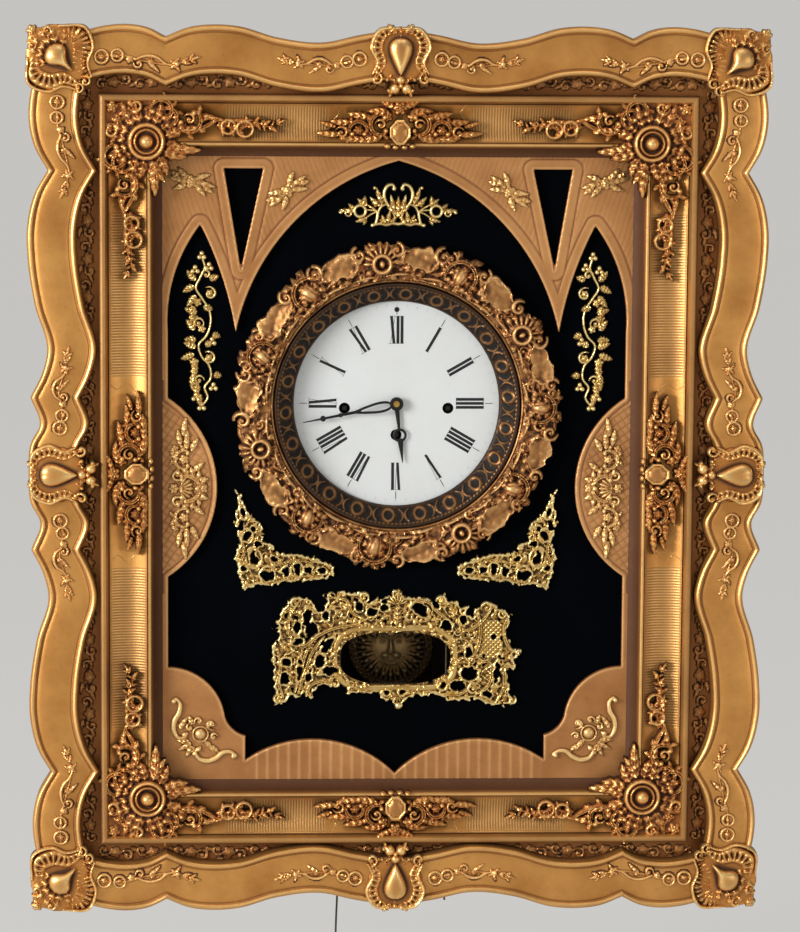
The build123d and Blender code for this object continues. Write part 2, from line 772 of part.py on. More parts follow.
with BuildPart() as window_mount:
    window_mid = window_z - frame_z
    lobes([(0, window_mid + 26, 17), (18, window_mid + 28, 15), (36, window_mid + 29, 17),
           (54, window_mid + 22, 17), (68, window_mid + 16, 14), (79, window_mid + 14, 9),
           (52, window_mid, 18), (60, window_mid - 10, 12), (46, window_mid - 18, 15),
           (30, window_mid - 26, 12), (14, window_mid - 26, 13), (0, window_mid - 27, 12)], True)
    with BuildSketch(facing(velvet_front, window_z)):
        RectangleRounded(window_width, window_height, window_corner)
    extrude(amount=mount_thickness, mode=Mode.SUBTRACT)
write(window_mount, "window_mount")


# Movement
def tooth_outline(teeth, module, addendum, dedendum, phase):
    """Gear outline with involute flanks; the first tooth stands at the phase angle."""
    pitch = module * teeth / 2
    base = pitch * cos(pressure_angle)
    tip = pitch + addendum * module
    root = pitch - dedendum * module
    half_pitch = pi / (2 * teeth) * (1 - backlash)
    spread = tan(pressure_angle) - pressure_angle

    def half_angle(radius):
        lean = acos(min(1.0, base / radius))
        return half_pitch + spread - (tan(lean) - lean)

    start = max(root, base)
    flank = [(root, half_angle(start)), (start + 0.02 * module, half_angle(start + 0.02 * module)),
             (pitch, half_angle(pitch)), (tip, half_angle(tip))]
    points = []
    for tooth in range(teeth):
        middle = phase + 2 * pi * tooth / teeth
        for radius, half in flank:
            points.append((radius * cos(middle - half), radius * sin(middle - half)))
        for radius, half in reversed(flank):
            points.append((radius * cos(middle + half), radius * sin(middle + half)))
    return points


def gear(back, thickness, teeth, module, x, z, phase, pinion=False):
    """Toothed disc at (x, z) from the dial middle."""
    addendum = pinion_addendum if pinion else wheel_addendum
    dedendum = wheel_addendum + 0.3 if pinion else pinion_addendum + 0.2
    with BuildSketch(facing(back, dial_z + z, x)) as disc:
        with BuildLine():
            Polyline(*tooth_outline(teeth, module, addendum, dedendum, phase), close=True)
        make_face()
    extrude(disc.sketch, amount=thickness)


def mating_phase(phase, teeth, direction, mate_teeth):
    """Phase of the gear met in a direction, so that its space faces the first gear's tooth."""
    share = (direction - phase) * teeth / (2 * pi)
    return direction + pi - (0.5 - share) * 2 * pi / mate_teeth


def crossings(back, thickness, x, z, ring, radius, count=5):
    """Round openings that lighten a wheel."""
    spots = [(x + ring * cos(2 * pi * n / count), z + ring * sin(2 * pi * n / count)) for n in range(count)]
    bar(back, back - thickness, radius, spots, dial_z, Mode.SUBTRACT)


going_spot = (0.0, -great_drop)
strike_spot = (-side_spacing, -side_barrel_drop)
quarter_spot = (side_spacing, -side_barrel_drop)
third_spot = (third_x, third_z)
escape_spot = (0.0, escape_z)
pallet_spot = (0.0, pivot_rise)
minute_spot = (minute_x, minute_z)
hour_stud = (-hammer_x, -hammer_drop)
quarter_stud = (hammer_x, -hammer_drop)
pillar_spots = [(side * (plate_half - 7), z) for side in (-1, 1) for z in (7 - plate_drop, plate_climb - 9)]
pivot_radius = 1.0
stud_post = 1.0

with BuildPart() as front_plate:
    block(front_plate_back, front_plate_y, -plate_half, plate_half, -plate_drop, plate_climb, dial_z)
    for side in (-1, 1):
        block(front_plate_back + 2 * cord_inset, front_plate_back, side * cord_x - 4, side * cord_x + 4,
              -plate_drop, 3 - plate_drop, dial_z)
    for side in (-1, 1):
        upright(side * cord_x, cord_y, dial_z - plate_drop, dial_z - plate_drop + 3,
                cord_radius + running_fit, Mode.SUBTRACT)
    bar(front_plate_back, front_plate_y, winding_radius + running_fit,
        [going_spot, strike_spot, quarter_spot], mode=Mode.SUBTRACT)
    bar(front_plate_back, front_plate_y, arbor_radius + running_fit, mode=Mode.SUBTRACT)
    bar(front_plate_back, front_plate_y, pivot_radius + running_fit, [third_spot, escape_spot, pallet_spot],
        mode=Mode.SUBTRACT)
    bar(front_plate_y, front_plate_y - 7, stud_post, [minute_spot])
    bar(front_plate_back, front_plate_y, screw_shank, pillar_spots, mode=Mode.SUBTRACT)
write(front_plate, "front_plate")

hammer_back = pendulum_y + 2.5
with BuildPart() as back_plate:
    block(back_plate_back, back_plate_y, -plate_half, plate_half, -plate_drop, plate_climb, dial_z)
    bar(back_plate_back, back_plate_y, winding_radius + running_fit,
        [going_spot, strike_spot, quarter_spot], mode=Mode.SUBTRACT)
    bar(back_plate_back, back_plate_y, pivot_radius + running_fit,
        [(0, 0), third_spot, escape_spot, pallet_spot], mode=Mode.SUBTRACT)
    bar(back_plate_back, back_plate_y, screw_shank, pillar_spots, mode=Mode.SUBTRACT)
    bar(hammer_back, back_plate_back, stud_radius, [hour_stud, quarter_stud])
write(back_plate, "back_plate")

with BuildPart() as plate_pillars:
    bar(back_plate_y, front_plate_back, pillar_radius, pillar_spots)
    bar(back_plate_back, front_plate_y, screw_shank, pillar_spots)
write(plate_pillars, "plate_pillars")

with BuildPart() as pillar_nuts:
    bar(front_plate_y, front_plate_y - nut_height, nut_radius, pillar_spots)
write(pillar_nuts, "pillar_nuts")

# Dial with its feet on the front plate
foot_spots_dial = [(-46.0, 34.0), (46.0, 34.0), (0.0, -45.0)]
with BuildPart() as enamel_dial:
    bar(dial_back, dial_front, dial_radius)
    bar(front_plate_y, dial_back, 1.8, foot_spots_dial)
    bar(dial_back, dial_front, dial_bore, mode=Mode.SUBTRACT)
    bar(dial_back, dial_front, winding_hole, [going_spot, strike_spot, quarter_spot], mode=Mode.SUBTRACT)
write(enamel_dial, "enamel_dial")

# Levels between the plates, front to back
centre_back = front_plate_back + 1.5 + wheel_thickness
third_back = centre_back + 1.8 + wheel_thickness
drum_front = third_back + 2.0
great_front = back_plate_y - 6.5
great_back = great_front + great_thickness
escape_back = third_back + 15.0

third_phase = 0.0
third_turn = atan2(-third_z, -third_x)
centre_phase = mating_phase(0.0, third_pinion_teeth, third_turn, centre_teeth)
escape_turn = atan2(escape_z - third_z, -third_x)
escape_phase = mating_phase(third_phase, third_teeth, escape_turn, escape_pinion_teeth)
great_phase = mating_phase(centre_phase, centre_pinion_teeth, -pi / 2, great_teeth)


def barrel(spot, phase):
    """Spring barrel with its great wheel, free on its winding arbor."""
    gear(great_back, great_thickness, great_teeth, great_module, spot[0], spot[1], phase)
    bar(great_front, drum_front, drum_radius, [spot])
    bar(great_back, drum_front, winding_radius + running_fit, [spot], mode=Mode.SUBTRACT)


def winding_arbor(spot):
    """Arbor with a square for the key at its front end."""
    bar(back_plate_back + 1.5, front_plate_y, winding_radius, [spot])
    with BuildSketch(facing(front_plate_y, dial_z)) as square:
        with Locations(spot):
            Rectangle(winding_square, winding_square)
    extrude(square.sketch, amount=front_plate_y - dial_front)


with BuildPart() as going_barrel:
    barrel(going_spot, great_phase)
write(going_barrel, "going_barrel")

with BuildPart() as strike_barrel:
    barrel(strike_spot, 0.0)
write(strike_barrel, "strike_barrel")

with BuildPart() as quarter_barrel:
    barrel(quarter_spot, 0.0)
write(quarter_barrel, "quarter_barrel")

with BuildPart() as going_arbor:
    winding_arbor(going_spot)
write(going_arbor, "going_arbor")

with BuildPart() as strike_arbor:
    winding_arbor(strike_spot)
write(strike_arbor, "strike_arbor")

with BuildPart() as quarter_arbor:
    winding_arbor(quarter_spot)
write(quarter_arbor, "quarter_arbor")

hour_hand_back = dial_front - 1.7
minute_hand_back = hour_hand_back - hand_thickness - hand_gap
arbor_front = minute_hand_back - hand_thickness - 1.2
with BuildPart() as centre_wheel:
    gear(centre_back, wheel_thickness, centre_teeth, centre_module, 0, 0, centre_phase)
    crossings(centre_back, wheel_thickness, 0, 0, 10.5, 4.6)
    gear(great_back + 1, great_thickness + 2, centre_pinion_teeth, great_module, 0, 0, centre_phase, True)
    bar(back_plate_y, arbor_front, arbor_radius)
    bar(back_plate_back, back_plate_y, pivot_radius)
write(centre_wheel, "centre_wheel")

with BuildPart() as third_wheel:
    gear(third_back, wheel_thickness, third_teeth, third_module, third_x, third_z, third_phase)
    crossings(third_back, wheel_thickness, third_x, third_z, 10.0, 4.4)
    gear(centre_back + 0.6, wheel_thickness + 1.2, third_pinion_teeth, centre_module, third_x, third_z,
         0.0, True)
    bar(back_plate_back, front_plate_y, pivot_radius, [third_spot])
write(third_wheel, "third_wheel")

escape_root = escape_radius - 2.6
escape_points = []
for tooth in range(escape_teeth):
    start = 2 * pi * tooth / escape_teeth
    for radius, share in ((escape_root, 0.0), (escape_radius, 0.5), (escape_radius, 0.58),
                          (escape_root, 0.72)):
        turn = start + 2 * pi / escape_teeth * share
        escape_points.append((radius * cos(turn), escape_z + radius * sin(turn)))
with BuildPart() as escape_wheel:
    with BuildSketch(facing(escape_back, dial_z)):
        with BuildLine():
            Polyline(*escape_points, close=True)
        make_face()
    extrude(amount=wheel_thickness)
    crossings(escape_back, wheel_thickness, 0, escape_z, 5.6, 2.4)
    gear(third_back + 0.8, wheel_thickness + 1.6, escape_pinion_teeth, third_module, 0, escape_z,
         escape_phase, True)
    bar(back_plate_back, front_plate_y, pivot_radius, [escape_spot])
write(escape_wheel, "escape_wheel")

# Pallets and crutch; the pallet faces stay clear of the escape teeth
fork_half = rod_radius + fork_fit
fork_wall = 1.8
crutch_front = back_plate_back + 1.5
crutch_back = crutch_front + 1.5
with BuildPart() as pallet_anchor:
    with BuildSketch(facing(escape_back + 0.6, pivot_z)):
        with BuildLine():
            Polyline((0, 3.2), (pallet_spread, 1 - pallet_drop), (pallet_spread - 1.2, -pallet_drop),
                     (0, -2.4), (1.2 - pallet_spread, -pallet_drop), (-pallet_spread, 1 - pallet_drop),
                     close=True)
        make_face()
    extrude(amount=wheel_thickness + 1.2)
    bar(crutch_back, front_plate_y, pivot_radius, [pallet_spot])
    bar(crutch_back, crutch_front, 3, [pallet_spot])
    block(crutch_back, crutch_front, -1.5, 1.5, -crutch_reach, 0, pivot_z)
    block(crutch_back, crutch_front, -fork_half - fork_wall, fork_half + fork_wall,
          -crutch_reach - 4, -crutch_reach, pivot_z)
    for side in (-1, 1):
        block(pendulum_y + 2, crutch_front, min(side * fork_half, side * (fork_half + fork_wall)),
              max(side * fork_half, side * (fork_half + fork_wall)), -crutch_reach - 4, -crutch_reach,
              pivot_z)
write(pallet_anchor, "pallet_anchor")

cock_low = 0.15
cock_high = 6.0
cock_front = back_plate_back + 5.5
with BuildPart() as suspension_cock:
    block(pendulum_y + 5, cock_front, -10, 10, cock_low, cock_high, pivot_z)
    for side in (-1, 1):
        block(cock_front, back_plate_back, min(side * 6, side * 10), max(side * 6, side * 10),
              cock_low, cock_high, pivot_z)
write(suspension_cock, "suspension_cock")

# Pendulum: a thin spring at the pivot, a rod, the bob in front of it and the rating nut
spring_length = 10.0
rating_nut = 4.0
rod_foot = bob_z - bob_radius - 10
with BuildPart() as pendulum_rod:
    block(pendulum_y + 2.5, pendulum_y - 2.5, -0.25, 0.25, -spring_length, 0, pivot_z)
    upright(0, pendulum_y, rod_foot, pivot_z - spring_length + 1.5, rod_radius)
    upright(0, pendulum_y, rod_foot, rod_foot + 5, rating_nut)
write(pendulum_rod, "pendulum_rod")

bob_back = pendulum_y - rod_radius
with BuildPart() as pendulum_bob:
    bar(bob_back, bob_back - bob_thickness + 2.5, bob_radius, z=bob_z)
    boss(0, bob_z, bob_back - bob_thickness + 2.5, bob_radius - 6, 2.5)
write(pendulum_bob, "pendulum_bob")

# Motion work and hands
cannon_outer = 2.1
hour_outer = 2.9
cannon_back = front_plate_y - 0.6
cannon_phase = 0.0
minute_phase = mating_phase(cannon_phase, cannon_teeth, minute_lean * pi / 180, minute_wheel_teeth)
hour_phase = mating_phase(minute_phase, minute_pinion_teeth, minute_lean * pi / 180 + pi, hour_wheel_teeth)
minute_back = cannon_back - 0.4
hour_back = minute_back - wheel_thickness - 1.0

with BuildPart() as cannon_pinion:
    gear(cannon_back, wheel_thickness + 0.8, cannon_teeth, minute_module, 0, 0, cannon_phase, True)
    bar(cannon_back, minute_hand_back - hand_thickness, cannon_outer)
    bar(cannon_back, minute_hand_back - hand_thickness, arbor_radius + running_fit, mode=Mode.SUBTRACT)
write(cannon_pinion, "cannon_pinion")

with BuildPart() as minute_wheel:
    gear(minute_back, wheel_thickness, minute_wheel_teeth, minute_module, minute_x, minute_z, minute_phase)
    gear(minute_back - wheel_thickness, wheel_thickness + 1.6, minute_pinion_teeth, hour_module,
         minute_x, minute_z, minute_phase, True)
    bar(minute_back, front_plate_y - 8, stud_post + running_fit, [minute_spot], mode=Mode.SUBTRACT)
write(minute_wheel, "minute_wheel")

with BuildPart() as hour_wheel:
    gear(hour_back, wheel_thickness, hour_wheel_teeth, hour_module, 0, 0, hour_phase)
    bar(hour_back, hour_hand_back - hand_thickness, hour_outer)
    bar(hour_back, hour_hand_back - hand_thickness, cannon_outer + running_fit, mode=Mode.SUBTRACT)
write(hour_wheel, "hour_wheel")

minute_hub = 4.4
eye_radius = 3.0
eye_reach = 50.0
loop_low = 7.0
loop_high = 24.0
loop_half = 3.0
hand_line = 1.1
with BuildPart() as minute_hand:
    with BuildSketch(pointing(minute_hand_back, minute_angle)):
        with BuildLine():
            Polyline((-0.8, 0), (-0.8, eye_reach), (-0.25, minute_length), (0.25, minute_length),
                     (0.8, eye_reach), (0.8, 0), close=True)
        make_face()
        with Locations((0, (loop_low + loop_high) / 2)):
            Ellipse(loop_half, (loop_high - loop_low) / 2)
            Ellipse(loop_half - hand_line, (loop_high - loop_low) / 2 - hand_line, mode=Mode.SUBTRACT)
        with Locations((0, eye_reach)):
            Circle(eye_radius)
            Circle(eye_radius - hand_line, mode=Mode.SUBTRACT)
        Circle(minute_hub)
        Circle(cannon_outer, mode=Mode.SUBTRACT)
        with Locations((0, (loop_low + 2) / 2)):
            Rectangle(1.6, loop_low - 2)
        Circle(cannon_outer, mode=Mode.SUBTRACT)
    extrude(amount=hand_thickness)
write(minute_hand, "minute_hand")

hour_hub = 5.2
moon_reach = 21.5
moon_radius = 4.6
with BuildPart() as hour_hand:
    with BuildSketch(pointing(hour_hand_back, hour_angle)):
        with BuildLine():
            Polyline((-1.7, 0), (-1.2, moon_reach), (-1.4, moon_reach + moon_radius + 3), (-0.3, hour_length),
                     (0.3, hour_length), (1.4, moon_reach + moon_radius + 3), (1.2, moon_reach), (1.7, 0),
                     close=True)
        make_face()
        with Locations((0, moon_reach)):
            Circle(moon_radius)
            Circle(moon_radius - hand_line, mode=Mode.SUBTRACT)
        Circle(hour_hub)
        Circle(hour_outer, mode=Mode.SUBTRACT)
    extrude(amount=hand_thickness)
write(hour_hand, "hour_hand")

# Wire gongs: flat spirals of half circles on posts from the case back, and their hammers
gong_z = dial_z - gong_drop
hour_gong_y = -case_back_board - hour_gong_space
quarter_gong_y = -case_back_board - quarter_gong_space
half_turns = 5


def gong(depth, radius):
    """Flat spiral of wire from its free outer end to its post."""
    with BuildLine(facing(depth, gong_z)) as spiral:
        x = radius
        for turn in range(half_turns):
            reach = radius - turn * gong_pitch / 2
            way = 1 if turn % 2 == 0 else -1
            ThreePointArc((x, 0), (x - way * reach, way * reach), (x - 2 * way * reach, 0))
            x = x - 2 * way * reach
    with BuildSketch(Plane(origin=(radius, depth, gong_z), z_dir=(0, 0, 1))) as wire:
        Circle(gong_wire)
    sweep(wire.sketch, path=spiral.wire())


with BuildPart() as hour_gong:
    gong(hour_gong_y, hour_gong_radius)
write(hour_gong, "hour_gong")

with BuildPart() as quarter_gong:
    gong(quarter_gong_y, quarter_gong_radius)
write(quarter_gong, "quarter_gong")

post_half = 3.0
post_height = 8.0
hour_post_x = -(hour_gong_radius - (half_turns - 1) * gong_pitch / 2)
quarter_post_x = -(quarter_gong_radius - (half_turns - 1) * gong_pitch / 2)
with BuildPart() as gong_stand:
    block(-case_back_board, -case_back_board - 3, min(hour_post_x, quarter_post_x) - post_half,
          max(hour_post_x, quarter_post_x) + post_half, -post_height, 0, gong_z)
    block(-case_back_board, hour_gong_y - gong_wire, hour_post_x - post_half, hour_post_x + post_half,
          -post_height, 0, gong_z)
    block(-case_back_board, quarter_gong_y - gong_wire, quarter_post_x - post_half,
          quarter_post_x + post_half, -post_height, 0, gong_z)
write(gong_stand, "gong_stand")

hammer_front = hammer_back - 3.5
hammer_lean = 20.0 * pi / 180


def hammer(stud, side, radius, depth):
    """Hammer on its stud: a flat arm and a round head beside the gong's outer wire."""
    reach = radius - gong_pitch / 2 + gong_wire + hammer_head + strike_gap
    head_x = side * reach * cos(hammer_lean) - gong_pitch / 2
    head_z = -gong_drop - reach * sin(hammer_lean)
    slope = atan2(head_z - stud[1], head_x - stud[0])
    length = hypot(head_z - stud[1], head_x - stud[0])
    bar(hammer_back, hammer_front, hammer_arm, [stud])
    with BuildSketch(facing(hammer_back, dial_z)) as arm:
        with Locations(Location(((stud[0] + head_x) / 2, (stud[1] + head_z) / 2), degrees(slope))):
            Rectangle(length, hammer_arm)
    extrude(arm.sketch, amount=hammer_back - hammer_front)
    bar(depth + gong_wire + 1, hammer_front, hammer_head, [(head_x, head_z)])
    bar(hammer_back, hammer_front, stud_radius + running_fit, [stud], mode=Mode.SUBTRACT)


with BuildPart() as hour_hammer:
    hammer(hour_stud, -1, hour_gong_radius, hour_gong_y)
write(hour_hammer, "hour_hammer")

with BuildPart() as quarter_hammer:
    hammer(quarter_stud, 1, quarter_gong_radius, quarter_gong_y)
write(quarter_hammer, "quarter_hammer")

# Pull cords through eyelets in the case bottom, each knotted above its guide on the front plate
with BuildPart() as cord_eyelets:
    for side in (-1, 1):
        upright(side * cord_x, cord_y, case_floor, case_floor + case_wall, eyelet_bore + eyelet_wall)
        upright(side * cord_x, cord_y, case_floor - 1, case_floor, eyelet_flange)
    for side in (-1, 1):
        upright(side * cord_x, cord_y, case_floor - 1, case_floor + case_wall, eyelet_bore, Mode.SUBTRACT)
write(cord_eyelets, "cord_eyelets")

knot_rise = 18.0
knot_radius = 2.4
cord_top = dial_z - plate_drop + knot_rise


def pull_cord(x, fall):
    """Cord from its knot between the plates to its free end below the case."""
    upright(x, cord_y, case_floor - fall, cord_top, cord_radius)
    with Locations((x, cord_y, cord_top)):
        Sphere(knot_radius)


with BuildPart() as repeat_cord:
    pull_cord(-cord_x, left_cord_fall)
write(repeat_cord, "repeat_cord")

with BuildPart() as silence_cord:
    pull_cord(cord_x, right_cord_fall)
write(silence_cord, "silence_cord")
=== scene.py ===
from math import cos, pi, radians, sin, sqrt

import bpy
import numpy as np
from mathutils import Matrix, Vector


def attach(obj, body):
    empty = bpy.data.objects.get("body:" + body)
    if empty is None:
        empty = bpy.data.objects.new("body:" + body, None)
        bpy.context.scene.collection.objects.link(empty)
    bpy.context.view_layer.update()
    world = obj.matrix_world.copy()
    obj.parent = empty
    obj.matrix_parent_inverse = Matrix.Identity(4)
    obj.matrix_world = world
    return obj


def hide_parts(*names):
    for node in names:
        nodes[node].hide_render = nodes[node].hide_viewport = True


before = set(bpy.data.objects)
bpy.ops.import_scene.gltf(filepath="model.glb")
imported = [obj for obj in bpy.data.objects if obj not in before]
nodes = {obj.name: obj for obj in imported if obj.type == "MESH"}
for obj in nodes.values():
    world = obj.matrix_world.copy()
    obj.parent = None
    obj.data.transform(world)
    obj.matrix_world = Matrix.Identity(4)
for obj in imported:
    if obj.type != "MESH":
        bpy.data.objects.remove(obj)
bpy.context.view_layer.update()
scene = bpy.context.scene
scene.view_settings.view_transform = "Standard"

# Places in mm, from the CAD: heights of the frame's and the dial's middle, depths of the faces
place = {"frameZ": -266.5, "dialZ": -221.5, "velvet": -103.5, "fret": -108.5, "base": -113.5,
         "panel": -120.5, "bead": -127.0, "dial": -94.5, "minute": -98.9, "hour": -96.2}
frameZ = place["frameZ"]
dialUp = place["dialZ"] - frameZ


def linear(r, g, b):
    return tuple((c / 255 / 12.92 if c < 10.3 else ((c / 255 + 0.055) / 1.055) ** 2.4)
                 for c in (r, g, b)) + (1.0,)


# Camera at the photograph's angle
camera = {"at": (-0.12584, -2.69111, 0.08558), "pitch": 7.677, "yaw": 2.838, "roll": 0.4025,
          "lens": 147.61, "sensor": 36.0, "far": 100.0}


def aimCamera():
    pitch, yaw, roll = (radians(camera[k]) for k in ("pitch", "yaw", "roll"))
    ahead = np.array([sin(yaw) * cos(pitch), cos(yaw) * cos(pitch), -sin(pitch)])
    right = np.array([cos(yaw), -sin(yaw), 0.0])
    up = np.cross(right, ahead)
    across = cos(roll) * right + sin(roll) * up
    over = cos(roll) * up - sin(roll) * right
    data = bpy.data.cameras.new("camera")
    data.lens = camera["lens"]
    data.sensor_width = camera["sensor"]
    data.clip_end = camera["far"]
    eye = bpy.data.objects.new("camera", data)
    scene.collection.objects.link(eye)
    turn = np.eye(4)
    turn[:3, 0], turn[:3, 1], turn[:3, 2], turn[:3, 3] = across, over, -ahead, camera["at"]
    eye.matrix_world = Matrix(turn.tolist())
    scene.camera = eye


aimCamera()


# Mesh helpers: a form is its points in mm, its quads and its tones at the points
crease = radians(40.0)


def makePiece(name, form, material, swaps=(), body="front_frame"):
    points, quads, tones = form
    mesh = bpy.data.meshes.new(name)
    quads = np.asarray(quads, np.int32).reshape(-1, 4)
    mesh.vertices.add(len(points))
    mesh.vertices.foreach_set("co", (np.asarray(points, float) / 1000).astype(np.float32).ravel())
    mesh.loops.add(quads.size)
    mesh.loops.foreach_set("vertex_index", quads.ravel())
    mesh.polygons.add(len(quads))
    mesh.polygons.foreach_set("loop_start", np.arange(0, quads.size, 4, dtype=np.int32))
    mesh.update(calc_edges=True)
    mesh.validate()
    mesh.polygons.foreach_set("use_smooth", np.ones(len(mesh.polygons), bool))
    mesh.set_sharp_from_angle(angle=crease)
    for key, values in tones.items():
        mesh.attributes.new(key, "FLOAT", "POINT").data.foreach_set("value", np.asarray(values, np.float32))
    piece = bpy.data.objects.new(name, mesh)
    scene.collection.objects.link(piece)
    mesh.materials.append(material)
    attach(piece, body)
    if swaps:
        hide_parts(*swaps)
    print("piece", name, len(points), "points", len(quads), "faces")
    return piece


def joinParts(parts):
    points, quads, tones, start = [], [], {}, 0
    for p, q, t in parts:
        points.append(p)
        quads.append(np.asarray(q).reshape(-1, 4) + start)
        for key, values in t.items():
            tones.setdefault(key, []).append(values)
        start += len(p)
    return np.concatenate(points), np.concatenate(quads), {k: np.concatenate(v) for k, v in tones.items()}


def gridQuads(rows, cols, flip=False):
    index = np.arange(rows * cols).reshape(rows, cols)
    quads = np.stack([index[:-1, :-1], index[:-1, 1:], index[1:, 1:], index[1:, :-1]], -1).reshape(-1, 4)
    return quads[:, ::-1] if flip else quads


def strip(rows, flip, recess, crest):  # rows of points side by side
    points = np.stack(rows)
    tones = {"recess": np.concatenate(recess), "crest": np.concatenate(crest)}
    return points.reshape(-1, 3), gridQuads(*points.shape[:2], flip), tones


def smooth(points, count):
    pts = np.asarray(points, float)
    t = np.r_[0, np.cumsum(np.hypot(*np.diff(pts, axis=0).T))]
    slope = np.gradient(pts, t, axis=0)
    u = np.linspace(0, t[-1], count)
    k = np.clip(np.searchsorted(t, u) - 1, 0, len(t) - 2)
    span = (t[k + 1] - t[k])[:, None]
    s = (u - t[k])[:, None] / span
    return ((2 * s**3 - 3 * s**2 + 1) * pts[k] + (s**3 - 2 * s**2 + s) * span * slope[k]
            + (3 * s**2 - 2 * s**3) * pts[k + 1] + (s**3 - s**2) * span * slope[k + 1])


# Carving: a grid of heights h and of cover c, which is above zero inside the ornament
def newGrid(x0, z0, x1, z1, step):
    xs, zs = np.arange(x0, x1 + step, step), np.arange(z0, z1 + step, step)
    return {"xs": xs, "zs": zs, "step": step, "h": np.zeros((len(zs), len(xs))),
            "c": np.full((len(zs), len(xs)), -4.0), "tint": np.zeros((len(zs), len(xs)))}


def spread(rel):
    return np.meshgrid(rel["xs"], rel["zs"])


def turned(x, z, aim):  # the same places in axes turned by aim degrees
    a = radians(aim)
    return x * cos(a) + z * sin(a), z * cos(a) - x * sin(a)


def bow(share, power=2):  # height of a rounded section, 1 in the middle and 0 at its edge
    return np.sqrt(np.clip(1 - share**power, 0, 1))


def around(x0, z0, r, aim):
    return x0 + r * cos(radians(aim)), z0 + r * sin(radians(aim))


def nearest(x, z, line):  # which point of a line is nearest, and how far off it is
    gap = (x[..., None] - line[:, 0]) ** 2 + (z[..., None] - line[:, 1]) ** 2
    k = gap.argmin(-1)
    return k, np.sqrt(np.take_along_axis(gap, k[..., None], -1)[..., 0])


def window(rel, low, high):
    i = np.clip(np.searchsorted(rel["zs"], (low[1], high[1])), 0, len(rel["zs"]))
    j = np.clip(np.searchsorted(rel["xs"], (low[0], high[0])), 0, len(rel["xs"]))
    x, z = np.meshgrid(rel["xs"][j[0]:j[1]], rel["zs"][i[0]:i[1]])
    return np.s_[i[0]:i[1], j[0]:j[1]], x, z


def merge(rel, part, c, h):
    rel["h"][part] = np.maximum(rel["h"][part], np.where(c > 0, h, 0.0))
    rel["c"][part] = np.maximum(rel["c"][part], c)


def stroke(rel, points, widths, tops, kind="round"):
    pts = np.asarray(points, float)
    run = np.hypot(*np.diff(pts, axis=0).T).sum()
    line = smooth(pts, int(np.clip(run / 0.7, 8, 150)))
    share = np.linspace(0, 1, len(line))
    wide = np.interp(share, np.linspace(0, 1, len(widths)), widths)
    top = np.interp(share, np.linspace(0, 1, len(tops)), tops)
    part, x, z = window(rel, line.min(0) - wide.max() - 1.5, line.max(0) + wide.max() + 1.5)
    if x.size == 0:
        return
    k, d = nearest(x, z, line)
    q = np.clip(d / wide[k], 0, 1)
    if kind == "round":
        shape = np.sqrt(1 - q**2)
    elif kind == "reed":  # two rolls with a channel between them
        shape = np.sqrt(1 - q**4) * (0.55 + 0.45 * np.sin(pi * np.minimum(q * 1.25, 1)) ** 2)
    elif kind == "dots":  # ruffle with a row of pits
        shape = np.sqrt(1 - q**4) * (1 - 0.5 * np.exp(-((q / 0.5) ** 2))
                                     * (0.5 + 0.5 * np.cos(2 * pi * k / 5.0)))
    else:  # ribbed cove
        shape = np.sqrt(1 - q**4) * (0.7 + 0.3 * np.cos(2 * pi * k / 3.4)) * (0.6 + 0.4 * q)
    merge(rel, part, wide[k] - d, top[k] * shape)


def ball(rel, x0, z0, r, top, squash=1.0, turn=0.0):
    part, x, z = window(rel, (x0 - 1.6 * r, z0 - 1.6 * r), (x0 + 1.6 * r, z0 + 1.6 * r))
    u, v = turned(x - x0, z - z0, turn)
    d = np.hypot(u, v / squash)
    merge(rel, part, (r - d) * min(1, squash), top * bow(d / r))


def ring(rel, x0, z0, r, w, top):
    part, x, z = window(rel, (x0 - r - w - 1, z0 - r - w - 1), (x0 + r + w + 1, z0 + r + w + 1))
    d = np.abs(np.hypot(x - x0, z - z0) - r)
    merge(rel, part, w - d, top * bow(d / w))


def flower(rel, x0, z0, r, top, petals=5, turn=0.0, layers=2):
    part, x, z = window(rel, (x0 - r - 1, z0 - r - 1), (x0 + r + 1, z0 + r + 1))
    d, a = np.hypot(x - x0, z - z0), np.arctan2(z - z0, x - x0)
    for layer in range(layers):
        b = a - radians(turn) - layer * pi / petals
        lobe = np.abs(np.cos(petals * b / 2))
        edge = r * (1 - 0.36 * layer) * (0.72 + 0.28 * lobe**0.7)
        q = np.clip(d / edge, 0, 1)
        cup = 1 - 0.75 * (q - 0.62) ** 2 / 0.38
        h = top * (0.5 + 0.22 * layer) * (0.55 + 0.45 * lobe**0.6) * cup * np.sqrt(1 - q**6)
        merge(rel, part, edge - d, h)
    ball(rel, x0, z0, 0.27 * r, top)


def leaf(rel, x0, z0, aim, length, width, top, bend=0.0, lobes=4):
    t = np.linspace(0, 1, int(np.clip(length / 0.5, 14, 70)))
    a = radians(aim)
    u, v = length * t, bend * length * t**2
    line = np.c_[x0 + u * cos(a) - v * sin(a), z0 + u * sin(a) + v * cos(a)]
    wide = width / 2 * np.sin(pi * t**0.72) ** 0.7 * (0.86 + 0.14 * np.cos(2 * pi * lobes * t)) + 0.25
    part, x, z = window(rel, line.min(0) - width, line.max(0) + width)
    if x.size == 0:
        return
    k, d = nearest(x, z, line)
    q = np.clip(d / wide[k], 0, 1)
    vein = 0.8 + 0.2 * np.cos(2 * pi * (lobes * t[k] - 0.6 * q))
    swell = 0.6 + 0.4 * np.sin(pi * t[k]) ** 0.5
    h = top * np.sqrt(1 - q**3) * vein * swell + 0.3 * top * np.exp(-((q / 0.16) ** 2))
    merge(rel, part, wide[k] - d, h * np.sqrt(1 - q**8))


